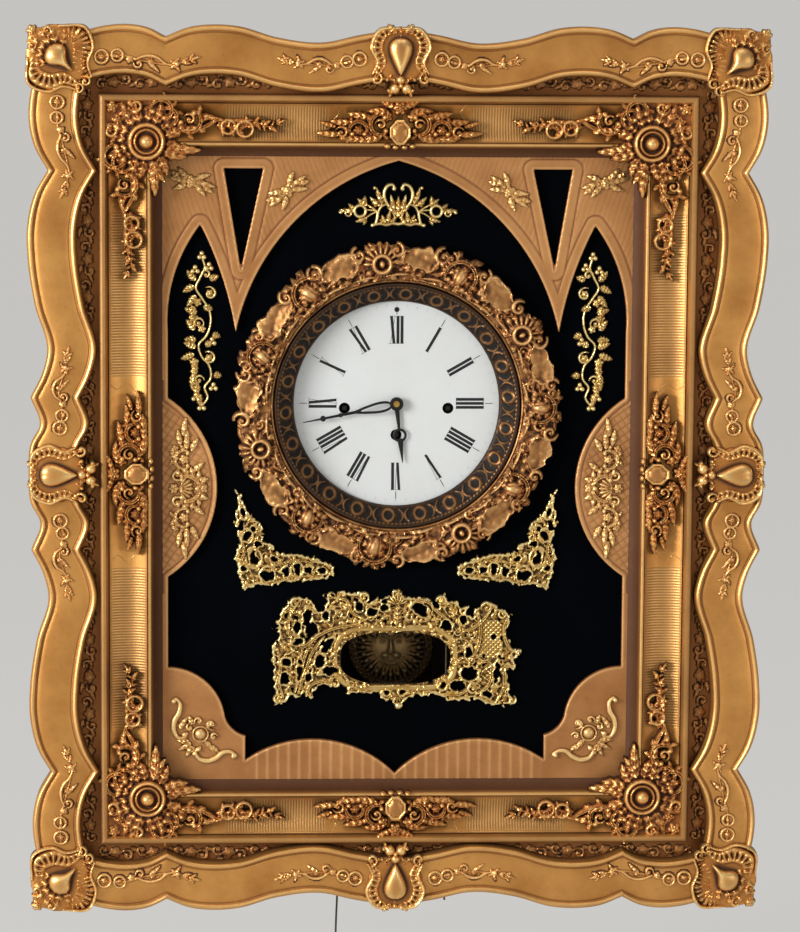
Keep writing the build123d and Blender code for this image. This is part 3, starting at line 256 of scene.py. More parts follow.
def curl(rel, x0, z0, r, start, sweep, w, top):
    t = np.linspace(0, 1, 26)
    a, reach = np.radians(start + sweep * t), r * (1 - 0.76 * t**0.85)
    pts = np.c_[x0 + reach * np.cos(a), z0 + reach * np.sin(a)]
    stroke(rel, pts, (0.55 * w, w, w, 0.6 * w), (0.7 * top, top, 0.9 * top, 0.75 * top))
    ball(rel, x0, z0, max(0.27 * r, 0.8 * w), 1.15 * top)


def shell(rel, x0, z0, aim, r, spread, ribs, top):
    part, x, z = window(rel, (x0 - r - 1, z0 - r - 1), (x0 + r + 1, z0 + r + 1))
    d = np.hypot(x - x0, z - z0)
    b = (np.arctan2(z - z0, x - x0) - radians(aim) + pi) % (2 * pi) - pi
    half = radians(spread) / 2
    lobe = np.abs(np.cos(ribs * pi * (b / (2 * half)) + (ribs % 2 == 0) * pi / 2))
    edge = r * (0.86 + 0.14 * lobe)
    c = np.minimum(edge - d, (half - np.abs(b)) * np.maximum(d, 0.3))
    q = np.clip(d / edge, 0, 1)
    merge(rel, part, c, top * (0.4 + 0.6 * lobe**0.7) * np.sin(pi * (0.12 + 0.72 * q)) * np.sqrt(1 - q**8))


def blurred(a, cells):
    for axis in (0, 1, 0, 1):
        n = a.shape[axis]
        pad = np.pad(a, [(cells + 1, cells) if k == axis else (0, 0) for k in (0, 1)], mode="edge")
        total = np.cumsum(pad, axis=axis)
        a = (np.take(total, np.arange(2 * cells + 1, 2 * cells + 1 + n), axis)
             - np.take(total, np.arange(n), axis)) / (2 * cells + 1)
    return a


def folds(rel, grain, seed):  # wandering field of spread 1, its ups and downs about grain mm apart
    field = np.random.default_rng(seed).standard_normal(rel["h"].shape)
    field = blurred(field, max(1, round(grain / rel["step"] / 4)))
    return field / field.std()


def carve(rel, put, edge=0.5, sink=0.5, copies=((1, 1),), reach=2.0, depth=0.9, back=False):
    c, step, h = rel["c"], rel["step"], rel["h"]
    inside = c > 0
    cells = inside[:-1, :-1] | inside[1:, :-1] | inside[:-1, 1:] | inside[1:, 1:]
    used = np.zeros(c.shape, bool)
    for i in (0, 1):
        for j in (0, 1):
            used[i:c.shape[0] - 1 + i, j:c.shape[1] - 1 + j] |= cells
    index = np.full(c.shape, -1)
    index[used] = np.arange(used.sum())
    x, z = spread(rel)
    gz, gx = np.gradient(c, step)
    size = np.sqrt(gx**2 + gz**2) + 1e-6
    push = np.where(used & ~inside, np.clip(-c / size, 0, 1.2 * step), 0.0)
    x, z = x + gx / size * push, z + gz / size * push
    soft = blurred(h, max(1, round(reach / step)))
    # recess is painted shade in hollows and round the foot of each carving, along with dark patina; crest is
    # a painted highlight on raised parts
    recess = np.clip((soft - h) / depth, 0, 1) + 0.55 * np.clip(1 - h / (0.5 * depth), 0, 1)
    crest = np.clip((h - soft) / depth, 0, 1)
    top = np.stack([index[:-1, :-1], index[:-1, 1:], index[1:, 1:], index[1:, :-1]], -1)[cells]
    full = np.pad(cells, 1)
    low, high, left, right = full[:-1, 1:-1], full[1:, 1:-1], full[1:-1, :-1], full[1:-1, 1:]
    rims = []  # rim edges, each as two grid points in an order that faces outwards
    for bare, held, di, dj, flip in ((low, high, 0, 1, False), (high, low, 0, 1, True),
                                     (left, right, 1, 0, True), (right, left, 1, 0, False)):
        i, j = np.nonzero(held & ~bare)
        ab = np.c_[index[i, j], index[i + di, j + dj]]
        rims.append(ab[:, ::-1] if flip else ab)
    rims = np.concatenate(rims)
    feet = np.unique(rims)
    foot = np.full(used.sum(), -1)
    foot[feet] = used.sum() + np.arange(len(feet))
    side = np.stack([rims[:, 0], foot[rims[:, 0]], foot[rims[:, 1]], rims[:, 1]], -1)
    quads = np.concatenate([top, side])
    fx, fz, fh = x[used], z[used], h[used] + edge
    parts = []
    for sx, sz in copies:
        ax, az = fx * sx, fz * sz
        points = np.concatenate([put(ax, az, fh), put(ax[feet], az[feet], np.full(len(feet), -sink))])
        # the sides down to the feet are painted dark as shade
        tones = {"recess": np.r_[np.minimum(recess[used], 1), np.full(len(feet), 0.9)],
                 "crest": np.r_[crest[used], np.zeros(len(feet))],
                 "tint": np.r_[rel["tint"][used], np.zeros(len(feet))]}
        faces = quads
        if back:
            under = put(ax, az, np.full(len(ax), -sink))
            faces = np.concatenate([quads, top[:, ::-1] + len(points)])
            points = np.concatenate([points, under])
            tones = {k: np.r_[v, np.full(len(ax), 0.5)] for k, v in tones.items()}
        parts.append((points, faces[:, ::-1] if sx * sz < 0 else faces, tones))
    return joinParts(parts)


quarters = ((1, 1), (-1, 1), (1, -1), (-1, -1))


def onFace(depth, up=0.0):
    return lambda x, z, h: np.stack([x, depth - h, z + frameZ + up], -1)


print("helpers ready")


# Materials
def put(tree, kind, **values):
    made = tree.nodes.new(kind)
    for key, value in values.items():
        if hasattr(made, key):
            setattr(made, key, value)
        else:
            made.inputs[key.replace("_", " ")].default_value = value
    return made


def wire(tree, source, target):
    tree.links.new(source, target)


def mixed(tree, share, a, b):
    made = put(tree, "ShaderNodeMixRGB")
    for value, target in ((share, made.inputs[0]), (a, made.inputs[1]), (b, made.inputs[2])):
        if isinstance(value, bpy.types.NodeSocket):
            wire(tree, value, target)
        else:
            target.default_value = value
    return made.outputs[0]


def scaled(tree, value, low, high, start=0.0, end=1.0):
    made = put(tree, "ShaderNodeMapRange", From_Min=start, From_Max=end, To_Min=low, To_Max=high)
    wire(tree, value, made.inputs["Value"])
    return made.outputs[0]


def summed(tree, value, share, base):  # base and a share of value
    made = put(tree, "ShaderNodeMath", operation="MULTIPLY_ADD")
    wire(tree, value, made.inputs[0])
    made.inputs[1].default_value = share
    wire(tree, base, made.inputs[2])
    return made.outputs[0]


def objectSpace(tree):
    return put(tree, "ShaderNodeTexCoord").outputs["Object"]


def newGroup(name, *titles):
    group = bpy.data.node_groups.new(name, "ShaderNodeTree")
    for title in titles:
        group.interface.new_socket(title, in_out="OUTPUT", socket_type="NodeSocketFloat")
    return group, group.nodes.new("NodeGroupOutput").inputs, objectSpace(group)


def noise(tree, where, scale, detail=4.0, rough=0.6, stretch=None):
    if stretch:
        bend = put(tree, "ShaderNodeMapping")
        bend.inputs["Scale"].default_value = stretch
        wire(tree, where, bend.inputs["Vector"])
        where = bend.outputs[0]
    made = put(tree, "ShaderNodeTexNoise", Scale=scale, Detail=detail, Roughness=rough)
    wire(tree, where, made.inputs["Vector"])
    return made.outputs[0]


# tones for the gilding: Recess carries painted shade along with patina, Crest a painted highlight; Blotch,
# Grain and Dust are its own wear
def paintedLightAndWearGroup():
    group, ends, where = newGroup("paintedLightAndWear", "Recess", "Crest", "Tint", "Blotch", "Grain", "Dust")
    for title in ("Recess", "Crest", "Tint"):
        wire(group, put(group, "ShaderNodeAttribute", attribute_name=title.lower()).outputs["Fac"],
             ends[title])
    wire(group, noise(group, where, 22.0, 5.0), ends["Blotch"])
    wire(group, noise(group, where, 1100.0, 3.0), ends["Grain"])
    wire(group, scaled(group, noise(group, where, 300.0, 6.0, 0.7), 0.0, 1.0, 0.58, 0.72), ends["Dust"])
    return group


def grainGroup():
    group, ends, where = newGroup("woodGrain", "Grain", "Pore", "Patch")
    wire(group, noise(group, where, 60.0, 5.0, 0.65, (6.0, 6.0, 0.35)), ends["Grain"])
    wire(group, noise(group, where, 320.0, 3.0, 0.6, (5.0, 5.0, 0.22)), ends["Pore"])
    wire(group, noise(group, where, 9.0, 3.0), ends["Patch"])
    return group


def metalGroup():
    group, ends, where = newGroup("brushed", "Brush", "Tarnish", "Spot")
    wire(group, noise(group, where, 260.0, 4.0, 0.6, (0.3, 4.0, 7.0)), ends["Brush"])
    wire(group, noise(group, where, 45.0, 5.0, 0.65), ends["Tarnish"])
    wire(group, scaled(group, noise(group, where, 420.0, 2.0), 0.0, 1.0, 0.62, 0.7), ends["Spot"])
    return group


paintedLightAndWear, woodGrain, brushed = paintedLightAndWearGroup(), grainGroup(), metalGroup()


def startMaterial(name, group=None, **values):
    made = bpy.data.materials.new(name)
    made.use_nodes = True
    tree = made.node_tree
    tree.nodes.clear()
    shader = put(tree, "ShaderNodeBsdfPrincipled", **values)
    wire(tree, shader.outputs[0], put(tree, "ShaderNodeOutputMaterial").inputs[0])
    effect = None
    if group:
        effect = tree.nodes.new("ShaderNodeGroup")
        effect.node_tree = group
    return made, tree, shader, effect


def addBump(tree, shader, height, strength, distance):
    bump = put(tree, "ShaderNodeBump", Strength=strength, Distance=distance)
    wire(tree, height, bump.inputs["Height"])
    wire(tree, bump.outputs[0], shader.inputs["Normal"])


def giltMaterial(name, base, bright, dark, metallic, rough, tint=None):
    made, tree, shader, fx = startMaterial(name, paintedLightAndWear)
    worn = linear(*[c * f for c, f in zip(base, (0.84, 0.78, 0.7))])
    tone = mixed(tree, scaled(tree, fx.outputs["Blotch"], 0.0, 0.9, 0.38, 0.66), linear(*base), worn)
    if tint:
        tone = mixed(tree, fx.outputs["Tint"], tone, linear(*tint))
    # painted highlight on raised parts
    tone = mixed(tree, scaled(tree, fx.outputs["Crest"], 0.0, 0.85), tone, linear(*bright))
    # painted shade in hollows and round the feet of carving, along with dark patina
    tone = mixed(tree, scaled(tree, fx.outputs["Recess"], 0.0, 0.92, 0.05, 0.8), tone, linear(*dark))
    tone = mixed(tree, scaled(tree, fx.outputs["Dust"], 0.0, 0.3), tone, linear(*[c * 0.6 for c in base]))
    wire(tree, tone, shader.inputs["Base Color"])
    grain = scaled(tree, fx.outputs["Grain"], rough - 0.06, rough + 0.1)
    matt = summed(tree, fx.outputs["Tint"], 0.16, grain)  # tinted plates are matt
    wire(tree, summed(tree, fx.outputs["Recess"], 0.3, matt), shader.inputs["Roughness"])
    wire(tree, scaled(tree, fx.outputs["Recess"], metallic, metallic * 0.4), shader.inputs["Metallic"])
    addBump(tree, shader, fx.outputs["Grain"], 0.25, 0.0004)
    return made


def metalMaterial(name, base, dull, metallic=1.0, rough=0.28):
    made, tree, shader, fx = startMaterial(name, brushed, Metallic=metallic)
    tone = mixed(tree, scaled(tree, fx.outputs["Tarnish"], 0.0, 0.8, 0.4, 0.75), linear(*base), linear(*dull))
    tone = mixed(tree, scaled(tree, fx.outputs["Spot"], 0.0, 0.35), tone, linear(*[c * 0.55 for c in dull]))
    wire(tree, tone, shader.inputs["Base Color"])
    wire(tree, scaled(tree, fx.outputs["Brush"], rough - 0.08, rough + 0.14), shader.inputs["Roughness"])
    addBump(tree, shader, fx.outputs["Brush"], 0.12, 0.0003)
    return made


def woodMaterial(name, base, dark, rough=0.5, coat=0.0):
    made, tree, shader, fx = startMaterial(name, woodGrain, Coat_Weight=coat)
    tone = mixed(tree, scaled(tree, fx.outputs["Grain"], 0.0, 1.0, 0.3, 0.72), linear(*base), linear(*dark))
    tone = mixed(tree, scaled(tree, fx.outputs["Patch"], 0.0, 0.4, 0.4, 0.7), tone,
                 linear(*[c * 0.75 for c in base]))
    tone = mixed(tree, scaled(tree, fx.outputs["Pore"], 0.0, 0.5, 0.58, 0.7), tone,
                 linear(*[c * 0.5 for c in dark]))
    wire(tree, tone, shader.inputs["Base Color"])
    wire(tree, scaled(tree, fx.outputs["Pore"], rough - 0.05, rough + 0.15), shader.inputs["Roughness"])
    addBump(tree, shader, fx.outputs["Pore"], 0.3, 0.0003)
    return made


def velvetMaterial(name, base, bright):
    made, tree, shader, _ = startMaterial(name, Sheen_Weight=0.03, Sheen_Roughness=0.4,
                                          Sheen_Tint=linear(40, 60, 120), Specular_IOR_Level=0.03)
    where = objectSpace(tree)
    pile = noise(tree, where, 1700.0, 2.0)
    nap = scaled(tree, noise(tree, where, 14.0, 4.0), 0.0, 0.8, 0.42, 0.7)
    wire(tree, mixed(tree, nap, linear(*base), linear(*bright)), shader.inputs["Base Color"])
    wire(tree, scaled(tree, pile, 0.8, 1.0), shader.inputs["Roughness"])
    addBump(tree, shader, pile, 0.6, 0.0006)
    return made


def enamelMaterial(name, base, warm):
    made, tree, shader, _ = startMaterial(name, Coat_Weight=0.5)
    where = objectSpace(tree)
    cloud = noise(tree, where, 18.0, 4.0)
    speck = scaled(tree, noise(tree, where, 420.0, 2.0), 0.0, 0.14, 0.7, 0.76)
    tone = mixed(tree, scaled(tree, cloud, 0.0, 0.8, 0.4, 0.75), linear(*base), linear(*warm))
    wire(tree, mixed(tree, speck, tone, linear(150, 140, 125)), shader.inputs["Base Color"])
    wire(tree, scaled(tree, cloud, 0.12, 0.26), shader.inputs["Roughness"])
    addBump(tree, shader, cloud, 0.05, 0.002)
    return made


def cordMaterial(name, base, dark):
    made, tree, shader, _ = startMaterial(name)
    where = objectSpace(tree)
    twist = put(tree, "ShaderNodeTexWave", bands_direction="DIAGONAL", Scale=420.0, Distortion=1.5)
    wire(tree, where, twist.inputs["Vector"])
    wire(tree, mixed(tree, twist.outputs[1], linear(*base), linear(*dark)), shader.inputs["Base Color"])
    wire(tree, scaled(tree, noise(tree, where, 900.0), 0.6, 0.9), shader.inputs["Roughness"])
    addBump(tree, shader, twist.outputs[1], 0.5, 0.0003)
    return made


gilt = giltMaterial("gilding", (216, 156, 84), (255, 220, 150), (62, 26, 8), 0.8, 0.35)
overlay = giltMaterial("carvedGilding", (204, 138, 68), (255, 216, 142), (50, 19, 6), 0.8, 0.32)
# a darker copy of the gilding, painted shade for the channel between the two frames
shadedChannelGilt = giltMaterial("shadedChannelGilding", (146, 92, 44), (206, 150, 88), (30, 11, 4), 0.7, 0.42)
garlandGilt = giltMaterial("garlandGilding", (190, 126, 62), (252, 204, 132), (48, 18, 6), 0.75, 0.35)
rosetteGilt = giltMaterial("rosetteGilding", (174, 108, 52), (248, 196, 122), (42, 16, 5), 0.78, 0.33)
wreathGilt = giltMaterial("wreathGilding", (150, 88, 45), (246, 196, 130), (40, 13, 4), 0.78, 0.32,
                          tint=(166, 116, 66))
mountGilt = giltMaterial("mountGilding", (200, 156, 78), (255, 234, 166), (40, 22, 6), 0.82, 0.28)
fretGilt = giltMaterial("fretGilding", (192, 135, 80), (236, 186, 124), (100, 54, 26), 0.6, 0.46)
sprayGilt = giltMaterial("sprayGilding", (206, 154, 88), (250, 210, 142), (86, 44, 18), 0.7, 0.38)
bronze = giltMaterial("bezelBronze", (69, 44, 23), (166, 119, 70), (6, 3, 2), 0.8, 0.34)
# dark base with a bright tint: painted shade on the rays, painted light on the mask
bobGilt = giltMaterial("bobGilding", (112, 78, 44), (255, 232, 178), (8, 5, 2), 0.6, 0.3,
                       tint=(250, 206, 138))
velvet = velvetMaterial("velvet", (1, 2, 4), (2, 4, 9))
enamel = enamelMaterial("enamel", (216, 219, 218), (208, 210, 206))
black = metalMaterial("blackenedSteel", (16, 16, 18), (30, 28, 28), 0.3, 0.38)
ink = metalMaterial("dialInk", (13, 13, 15), (24, 23, 24), 0.0, 0.45)
paleInk = metalMaterial("paleInk", (196, 197, 196), (206, 206, 204), 0.0, 0.5)
darkBrass = metalMaterial("darkBrass", (66, 50, 28), (38, 28, 16), 0.9, 0.42)
brass = metalMaterial("brass", (206, 166, 88), (150, 112, 52))
steel = metalMaterial("steel", (168, 168, 170), (112, 110, 108), 1.0, 0.3)
iron = metalMaterial("iron", (74, 70, 66), (52, 40, 32), 0.9, 0.48)
caseWood = woodMaterial("caseWood", (96, 58, 34), (52, 29, 16), 0.42, 0.25)
panelWood = woodMaterial("panelWood", (70, 46, 28), (40, 24, 14), 0.6)
cordFibre = cordMaterial("cordFibre", (104, 90, 70), (62, 50, 38))

kept = {
    caseWood: ["case_back", "case_sides", "case_top", "case_bottom"],
    panelWood: ["panel_board"],
    shadedChannelGilt: ["base_frame"],
    darkBrass: ["front_plate"],
    black: ["going_arbor", "strike_arbor", "quarter_arbor"],
    brass: ["back_plate", "plate_pillars", "going_barrel", "strike_barrel", "quarter_barrel", "centre_wheel",
            "third_wheel", "escape_wheel", "minute_wheel", "hour_wheel", "cannon_pinion", "case_hinge_leaves",
            "frame_hinge_leaves", "cord_eyelets", "hour_hammer", "quarter_hammer", "movement_brackets",
            "pendulum_rod"],
    steel: ["pillar_nuts", "suspension_cock", "pallet_anchor", "hinge_pins", "wood_screws", "hour_gong",
            "quarter_gong"],
    iron: ["hanger_plate", "gong_stand"],
    enamel: ["enamel_dial"],
}
for material, names in kept.items():
    for name in names:
        nodes[name].data.materials.clear()
        nodes[name].data.materials.append(material)
print("materials ready")


# Pull cords
cordPoints = {
    "repeat_cord_fall": [(-0.0370, -0.0755, -0.5200), (-0.0370, -0.0755, -0.5320),
                         (-0.0374, -0.0755, -0.5500), (-0.0384, -0.0755, -0.5750),
                         (-0.0392, -0.0755, -0.5950), (-0.0394, -0.0755, -0.6110)],
    "silence_cord_fall": [(0.0370, -0.0755, -0.5200), (0.0370, -0.0755, -0.5300), (0.0368, -0.0755, -0.5420),
                          (0.0370, -0.0755, -0.5600), (0.0371, -0.0755, -0.5750)],
    "repeat_cord_run": [(-0.0370, -0.0755, -0.2555), (-0.0370, -0.0755, -0.3400), (-0.0370, -0.0755, -0.4300),
                        (-0.0370, -0.0755, -0.5200)],
    "silence_cord_run": [(0.0370, -0.0755, -0.2555), (0.0370, -0.0755, -0.3400), (0.0370, -0.0755, -0.4300),
                         (0.0370, -0.0755, -0.5200)],
}
cordRadius = 0.0007


def addCord(name, body, node):
    points = cordPoints[name]
    data = bpy.data.curves.new(name, "CURVE")
    data.dimensions = "3D"
    data.bevel_depth = cordRadius
    data.bevel_resolution = 3
    data.use_fill_caps = True
    spline = data.splines.new("NURBS")
    spline.points.add(len(points) - 1)
    for spot, p in zip(spline.points, points):
        spot.co = (*p, 1.0)
    spline.order_u = 3
    spline.use_endpoint_u = True
    spline.resolution_u = 8
    piece = bpy.data.objects.new(name, data)
    scene.collection.objects.link(piece)
    data.materials.append(cordFibre)
    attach(piece, body)
    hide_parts(node)
    return piece


knot = {"r": 2.4, "wraps": 3, "z": -255.5}


def addKnot(name, body, at):  # wrapped round knot, mm
    u, v = np.meshgrid(np.linspace(0, 2 * pi, 33), np.linspace(0, pi, 22))
    r = knot["r"] * (0.9 + 0.1 * np.cos(3 * u + 2 * knot["wraps"] * v))
    points = np.stack([at[0] + r * np.sin(v) * np.cos(u), at[1] + r * np.sin(v) * np.sin(u),
                       at[2] - r * np.cos(v)], -1).reshape(-1, 3)
    makePiece(name, (points, gridQuads(*u.shape, True), {}), cordFibre, body=body)


for key, body in (("repeat", "repeat_pull"), ("silence", "silence_pull")):
    node = key + "_cord"
    fall = addCord(node + "_fall", body, node)
    addCord(node + "_run", body, node)
    start, *_, end = cordPoints[node + "_fall"]
    addKnot(node + "_knot", body, (1000 * start[0], 1000 * start[1], knot["z"]))
print("cords ready")


# Outer frame: a wavy band with a roll along both edges
band = {"wide": 33.0, "halfX": 250.0, "halfZ": 302.5, "mitre": (247.0, 299.5), "turn": 34.0,
        "section": [(0, 0), (0, 9.6), (0.25, 11.6), (1.0, 12.9), (2.0, 13.4), (3.0, 13.1), (3.8, 12.2),
                    (4.3, 11.3), (4.9, 11.1), (5.8, 11.5), (8.0, 11.9), (12.0, 12.3), (16.5, 12.4),
                    (21.0, 12.3), (25.0, 11.9), (27.2, 11.5), (28.1, 11.1), (28.7, 11.3), (29.2, 12.2),
                    (30.0, 13.1), (31.0, 13.4), (32.0, 12.9), (32.75, 11.6), (33, 9.6), (33, 0), (16, 0),
                    (0.2, 0)],
        "rail": [(0, -2), (27, -6.5), (52, -11.6), (82, -8.5), (109, -1), (125, 0), (142, -2), (157, -8)],
        "railLobe": [(157, -8), (169, -2.2), (183, 0), (198, -1.2), (212, -4.6)],
        "stile": [(0, 0), (20, -1.5), (33, -7.8), (52, -1.7)],
        "stileBow": [(52, -1.7), (68, -9.5), (82, -13), (115, -4.8), (146, -0.3), (166, 0), (190, -5.5),
                     (205, -14)],
        "stileLobe": [(205, -14), (221, -5.2), (240, -1.5), (253, -2.3), (264.5, -4.6)]}


def bandLine(key):
    keys = ("rail", "railLobe") if key == "rail" else ("stile", "stileBow", "stileLobe")
    runs = [smooth(band[k], max(16, int((band[k][-1][0] - band[k][0][0]) / 1.6))) for k in keys]
    return np.concatenate([runs[0]] + [r[1:] for r in runs[1:]])


def bandEdge(key, offset):  # half of one edge at an offset inwards, from the middle to the mitre
    line = bandLine(key)
    end = np.array(band["mitre"]) - offset / band["wide"] * band["turn"]
    if key == "rail":
        pts = np.c_[line[:, 0], band["halfZ"] - offset + line[:, 1]]
        keep = pts[:, 0] < end[0] - 2
    else:
        pts = np.c_[band["halfX"] - offset + line[:, 1], line[:, 0]]
        keep = pts[:, 1] < end[1] - 2
    if not keep.all():
        last, share = pts[keep][-1], np.cumsum(~keep) / (~keep).sum()
        pts = np.where(keep[:, None], pts, last + (end - last) * share[:, None])
    return np.concatenate([pts, [pts[-1] + (end - pts[-1]) * t for t in (0.34, 0.67, 1.0)]])


def bandPart(key, side):
    rows, tone, shine = [], [], []
    for offset, rise in band["section"]:
        half = bandEdge(key, offset)
        flip = half * (np.array([-1, 1]) if key == "rail" else np.array([1, -1]))
        whole = np.concatenate([flip[::-1], half[1:]])
        whole = whole * (np.array([1, side]) if key == "rail" else np.array([side, 1]))
        rows.append(np.c_[whole[:, 0], np.full(len(whole), place["base"] - rise), whole[:, 1] + frameZ])
        # paintedShade darkens the two grooves and the sides going back as painted shade; shine is a painted
        # highlight on the tops of the rolls
        gap = min(abs(offset - 4.8), abs(offset - 28.2))
        paintedShade = 0.75 * max(0, 1 - gap / 0.8) + (0.8 if rise < 9 else 0.3 if rise < 10 else 0)
        tone.append(np.full(len(whole), min(paintedShade, 1)))
        shine.append(np.full(len(whole), 0.4 if rise > 13 else 0.0))
    return strip(rows, (side > 0) != (key == "rail"), tone, shine)


for key, name in (("rail", "outer_frame_rails"), ("stile", "outer_frame_stiles")):
    makePiece("gilded_" + name, joinParts([bandPart(key, 1), bandPart(key, -1)]), gilt, [name])


# Inner frame: mitred moulding with a hollow panel, part of it ribbed
inner = {"halfX": 159.0, "halfZ": 213.5, "pitch": 1.9, "ribDepth": 0.3, "railRibs": (47.0, 118.0),
         "stileRibs": (64.0, 178.0),
         "section": [(0, 0), (0, 4), (0.8, 4.9), (2, 5.5), (3.4, 6.6), (5, 9), (6.6, 12.3), (7.7, 15.2),
                     (8.4, 16.6), (9.3, 17), (10.2, 16.8), (10.7, 16.1)]
         + [(11.2 + 25.2 * k / 16, 16.6 - 4.6 * (1 - ((k - 8) / 8) ** 2)) for k in range(17)]
         + [(36.9, 16.0), (37.3, 17.6), (37.9, 19.7), (38.8, 21.1), (40.2, 21.5), (41.6, 21.2), (42.6, 20.1),
            (43, 18.4)],
         # these rows end with the shifts that clear a hinge
         "back": [(43, -7.6, 0, 4.6), (42.6, -8, -5.4, 0), (8.4, -8, 0, 0), (8, -7.6, 0, 0), (8, -0.5, 0, 0)],
         "hinge": (126.4, 173.6)}


def innerPart(key, side):
    half, other = (inner["halfX"], inner["halfZ"]) if key == "rail" else (inner["halfZ"], inner["halfX"])
    low, high = inner["railRibs"] if key == "rail" else inner["stileRibs"]
    ribs = np.arange(low, high + 0.01, inner["pitch"] / 4)
    along = np.concatenate([-ribs[::-1], [-20, 20], ribs])
    along = np.unique(np.concatenate([along, [-half, -half + 8, half - 8, half]]))
    rows, tone, shine = [], [], []
    for out, rise, inwards, forwards in [(out, rise, 0, 0) for out, rise in inner["section"]] + inner["back"]:
        run = np.concatenate([[-half - out], along, [half + out]])
        near = np.abs(run)
        room = (key == "stile") * (side < 0) * (near > inner["hinge"][0]) * (near < inner["hinge"][1])
        fade = np.clip((near - low) / 3, 0, 1) * np.clip((high - near) / 3, 0, 1)
        cut = np.clip((out - 11.5) / 2, 0, 1) * np.clip((36 - out) / 2, 0, 1) * fade
        wave = 0.5 - 0.5 * np.cos(2 * pi * (near - low) / inner["pitch"])
        if rise < 0:
            cut = 0 * cut
        depth = place["velvet"] - rise - forwards * room + inner["ribDepth"] * cut * (1 - wave)
        flat = side * (other + out + inwards * room)
        rows.append(np.c_[run, depth, flat + frameZ] if key == "rail" else np.c_[flat, depth, run + frameZ])
        # groove: painted shade in the two grooves, and 0.6 on the back rows; shade: painted shade on the
        # sight slope and the outer side; rib valleys get painted shade too
        groove = max(0, 1 - min(abs(out - 10.8), abs(out - 36.8)) / 0.6) if rise > 0 else 0.6
        shade = np.interp(out, (0, 5, 7.4, 8.8, 36, 38.5, 41, 43), (1.0, 1.0, 0.75, 0.1, 0.0, 0.35, 0.3, 0.8))
        tone.append(np.minimum(groove + shade + 0.45 * cut * (1 - wave), 1))
        # shine: painted highlight on the cove's crest, the lip and the rib tops
        shine.append(np.full(len(run), 0.6 if abs(out - 9.3) < 0.3 else 0.15 if rise > 21 else 0.0)
                     + 0.3 * cut * wave)
    return strip(rows, (side > 0) != (key == "rail"), tone, shine)


for key, name in (("rail", "inner_frame_rails"), ("stile", "inner_frame_stiles")):
    makePiece("gilded_" + name, joinParts([innerPart(key, 1), innerPart(key, -1)]), gilt, [name])


def onInner(sunk):  # lays a drawing on the hollow of the inner frame
    outs, rises = np.array(inner["section"][1:]).T

    def lay(x, z, h):
        out = np.maximum(np.abs(x) - inner["halfX"], np.abs(z) - inner["halfZ"])
        return np.stack([x, place["velvet"] - np.interp(out, outs, rises) + sunk - h, z + frameZ], -1)
    return lay


# Scored curves that close off the ribs on the inner frame
score = {"w": 0.5, "top": 0.45}
rel = newGrid(-126, 220, 126, 254, 0.5)
for side in (-1, 1):
    stroke(rel, [(side * 44, 249), (side * 41, 244), (side * 45, 238), (side * 38, 230), (side * 36, 226)],
           (score["w"],), (score["top"],))
    stroke(rel, [(side * 44, 249.3), (side * 80, 249.3), (side * 118, 249.3)], (score["w"],), (score["top"],))
makePiece("scored_rail_curves", carve(rel, onInner(0.3), 0.1, 1.2, ((1, 1), (1, -1))), gilt)
rel = newGrid(165, 30, 198, 185, 0.5)
stroke(rel, [(194.6, 60), (190, 57), (184, 61), (176, 54), (172, 52)], (score["w"],), (score["top"],))
stroke(rel, [(194.8, 60), (194.8, 120), (194.8, 178)], (score["w"],), (score["top"],))
stroke(rel, [(194.8, 178), (189, 182), (181, 178), (174, 182)], (score["w"],), (score["top"],))
makePiece("scored_stile_curves", carve(rel, onInner(0.3), 0.1, 1.2, quarters), gilt)
print("mouldings ready")


# Fret: pierced board, moulded along its openings and hatched between them
fret = {"step": 0.85, "thick": 5.0, "halfX": 160.0, "halfZ": 214.5, "band": 7.0, "flute": 7.3}


def arcPoints(a, m, b, count=26):
    a, m, b = (np.array(p, float) for p in (a, m, b))
    ax, ay, bx, by, cx, cy = *a, *m, *b
    d = 2 * (ax * (by - cy) + bx * (cy - ay) + cx * (ay - by))
    ux = ((ax**2 + ay**2) * (by - cy) + (bx**2 + by**2) * (cy - ay) + (cx**2 + cy**2) * (ay - by)) / d
    uy = ((ax**2 + ay**2) * (cx - bx) + (bx**2 + by**2) * (ax - cx) + (cx**2 + cy**2) * (bx - ax)) / d
    o = np.array([ux, uy])
    t = [np.arctan2(*(p - o)[::-1]) for p in (a, m, b)]
    turn = (t[2] - t[0]) % (2 * pi)
    if (t[1] - t[0]) % (2 * pi) > turn:
        turn -= 2 * pi
    s = t[0] + np.linspace(0, 1, count) * turn
    return np.c_[ux + np.hypot(*(a - o)) * np.cos(s), uy + np.hypot(*(a - o)) * np.sin(s)]


opening = np.concatenate([
    arcPoints((0, 211.5), (70, 170.5), (110, 94.5), 40),
    arcPoints((110, 94.5), (119.2, 132.6), (134, 168)),
    arcPoints((134, 168), (150.5, 137), (156, 95)), [(156, 50)],
    arcPoints((156, 50), (122.5, -11.5), (156, -73), 40), [(156, -136)],
    arcPoints((156, -136), (134, -143), (117, -171)),
    arcPoints((117, -171), (111.5, -179.5), (103, -184), 12), [(103, -201)],
    arcPoints((103, -201), (54, -186.7), (0, -210.5), 40), [(-0.4, -210.5), (-0.4, 211.5)]])
wedge = np.array([(91.5, 206), (118, 206), (106.5, 137.5), (91.5, 206)])


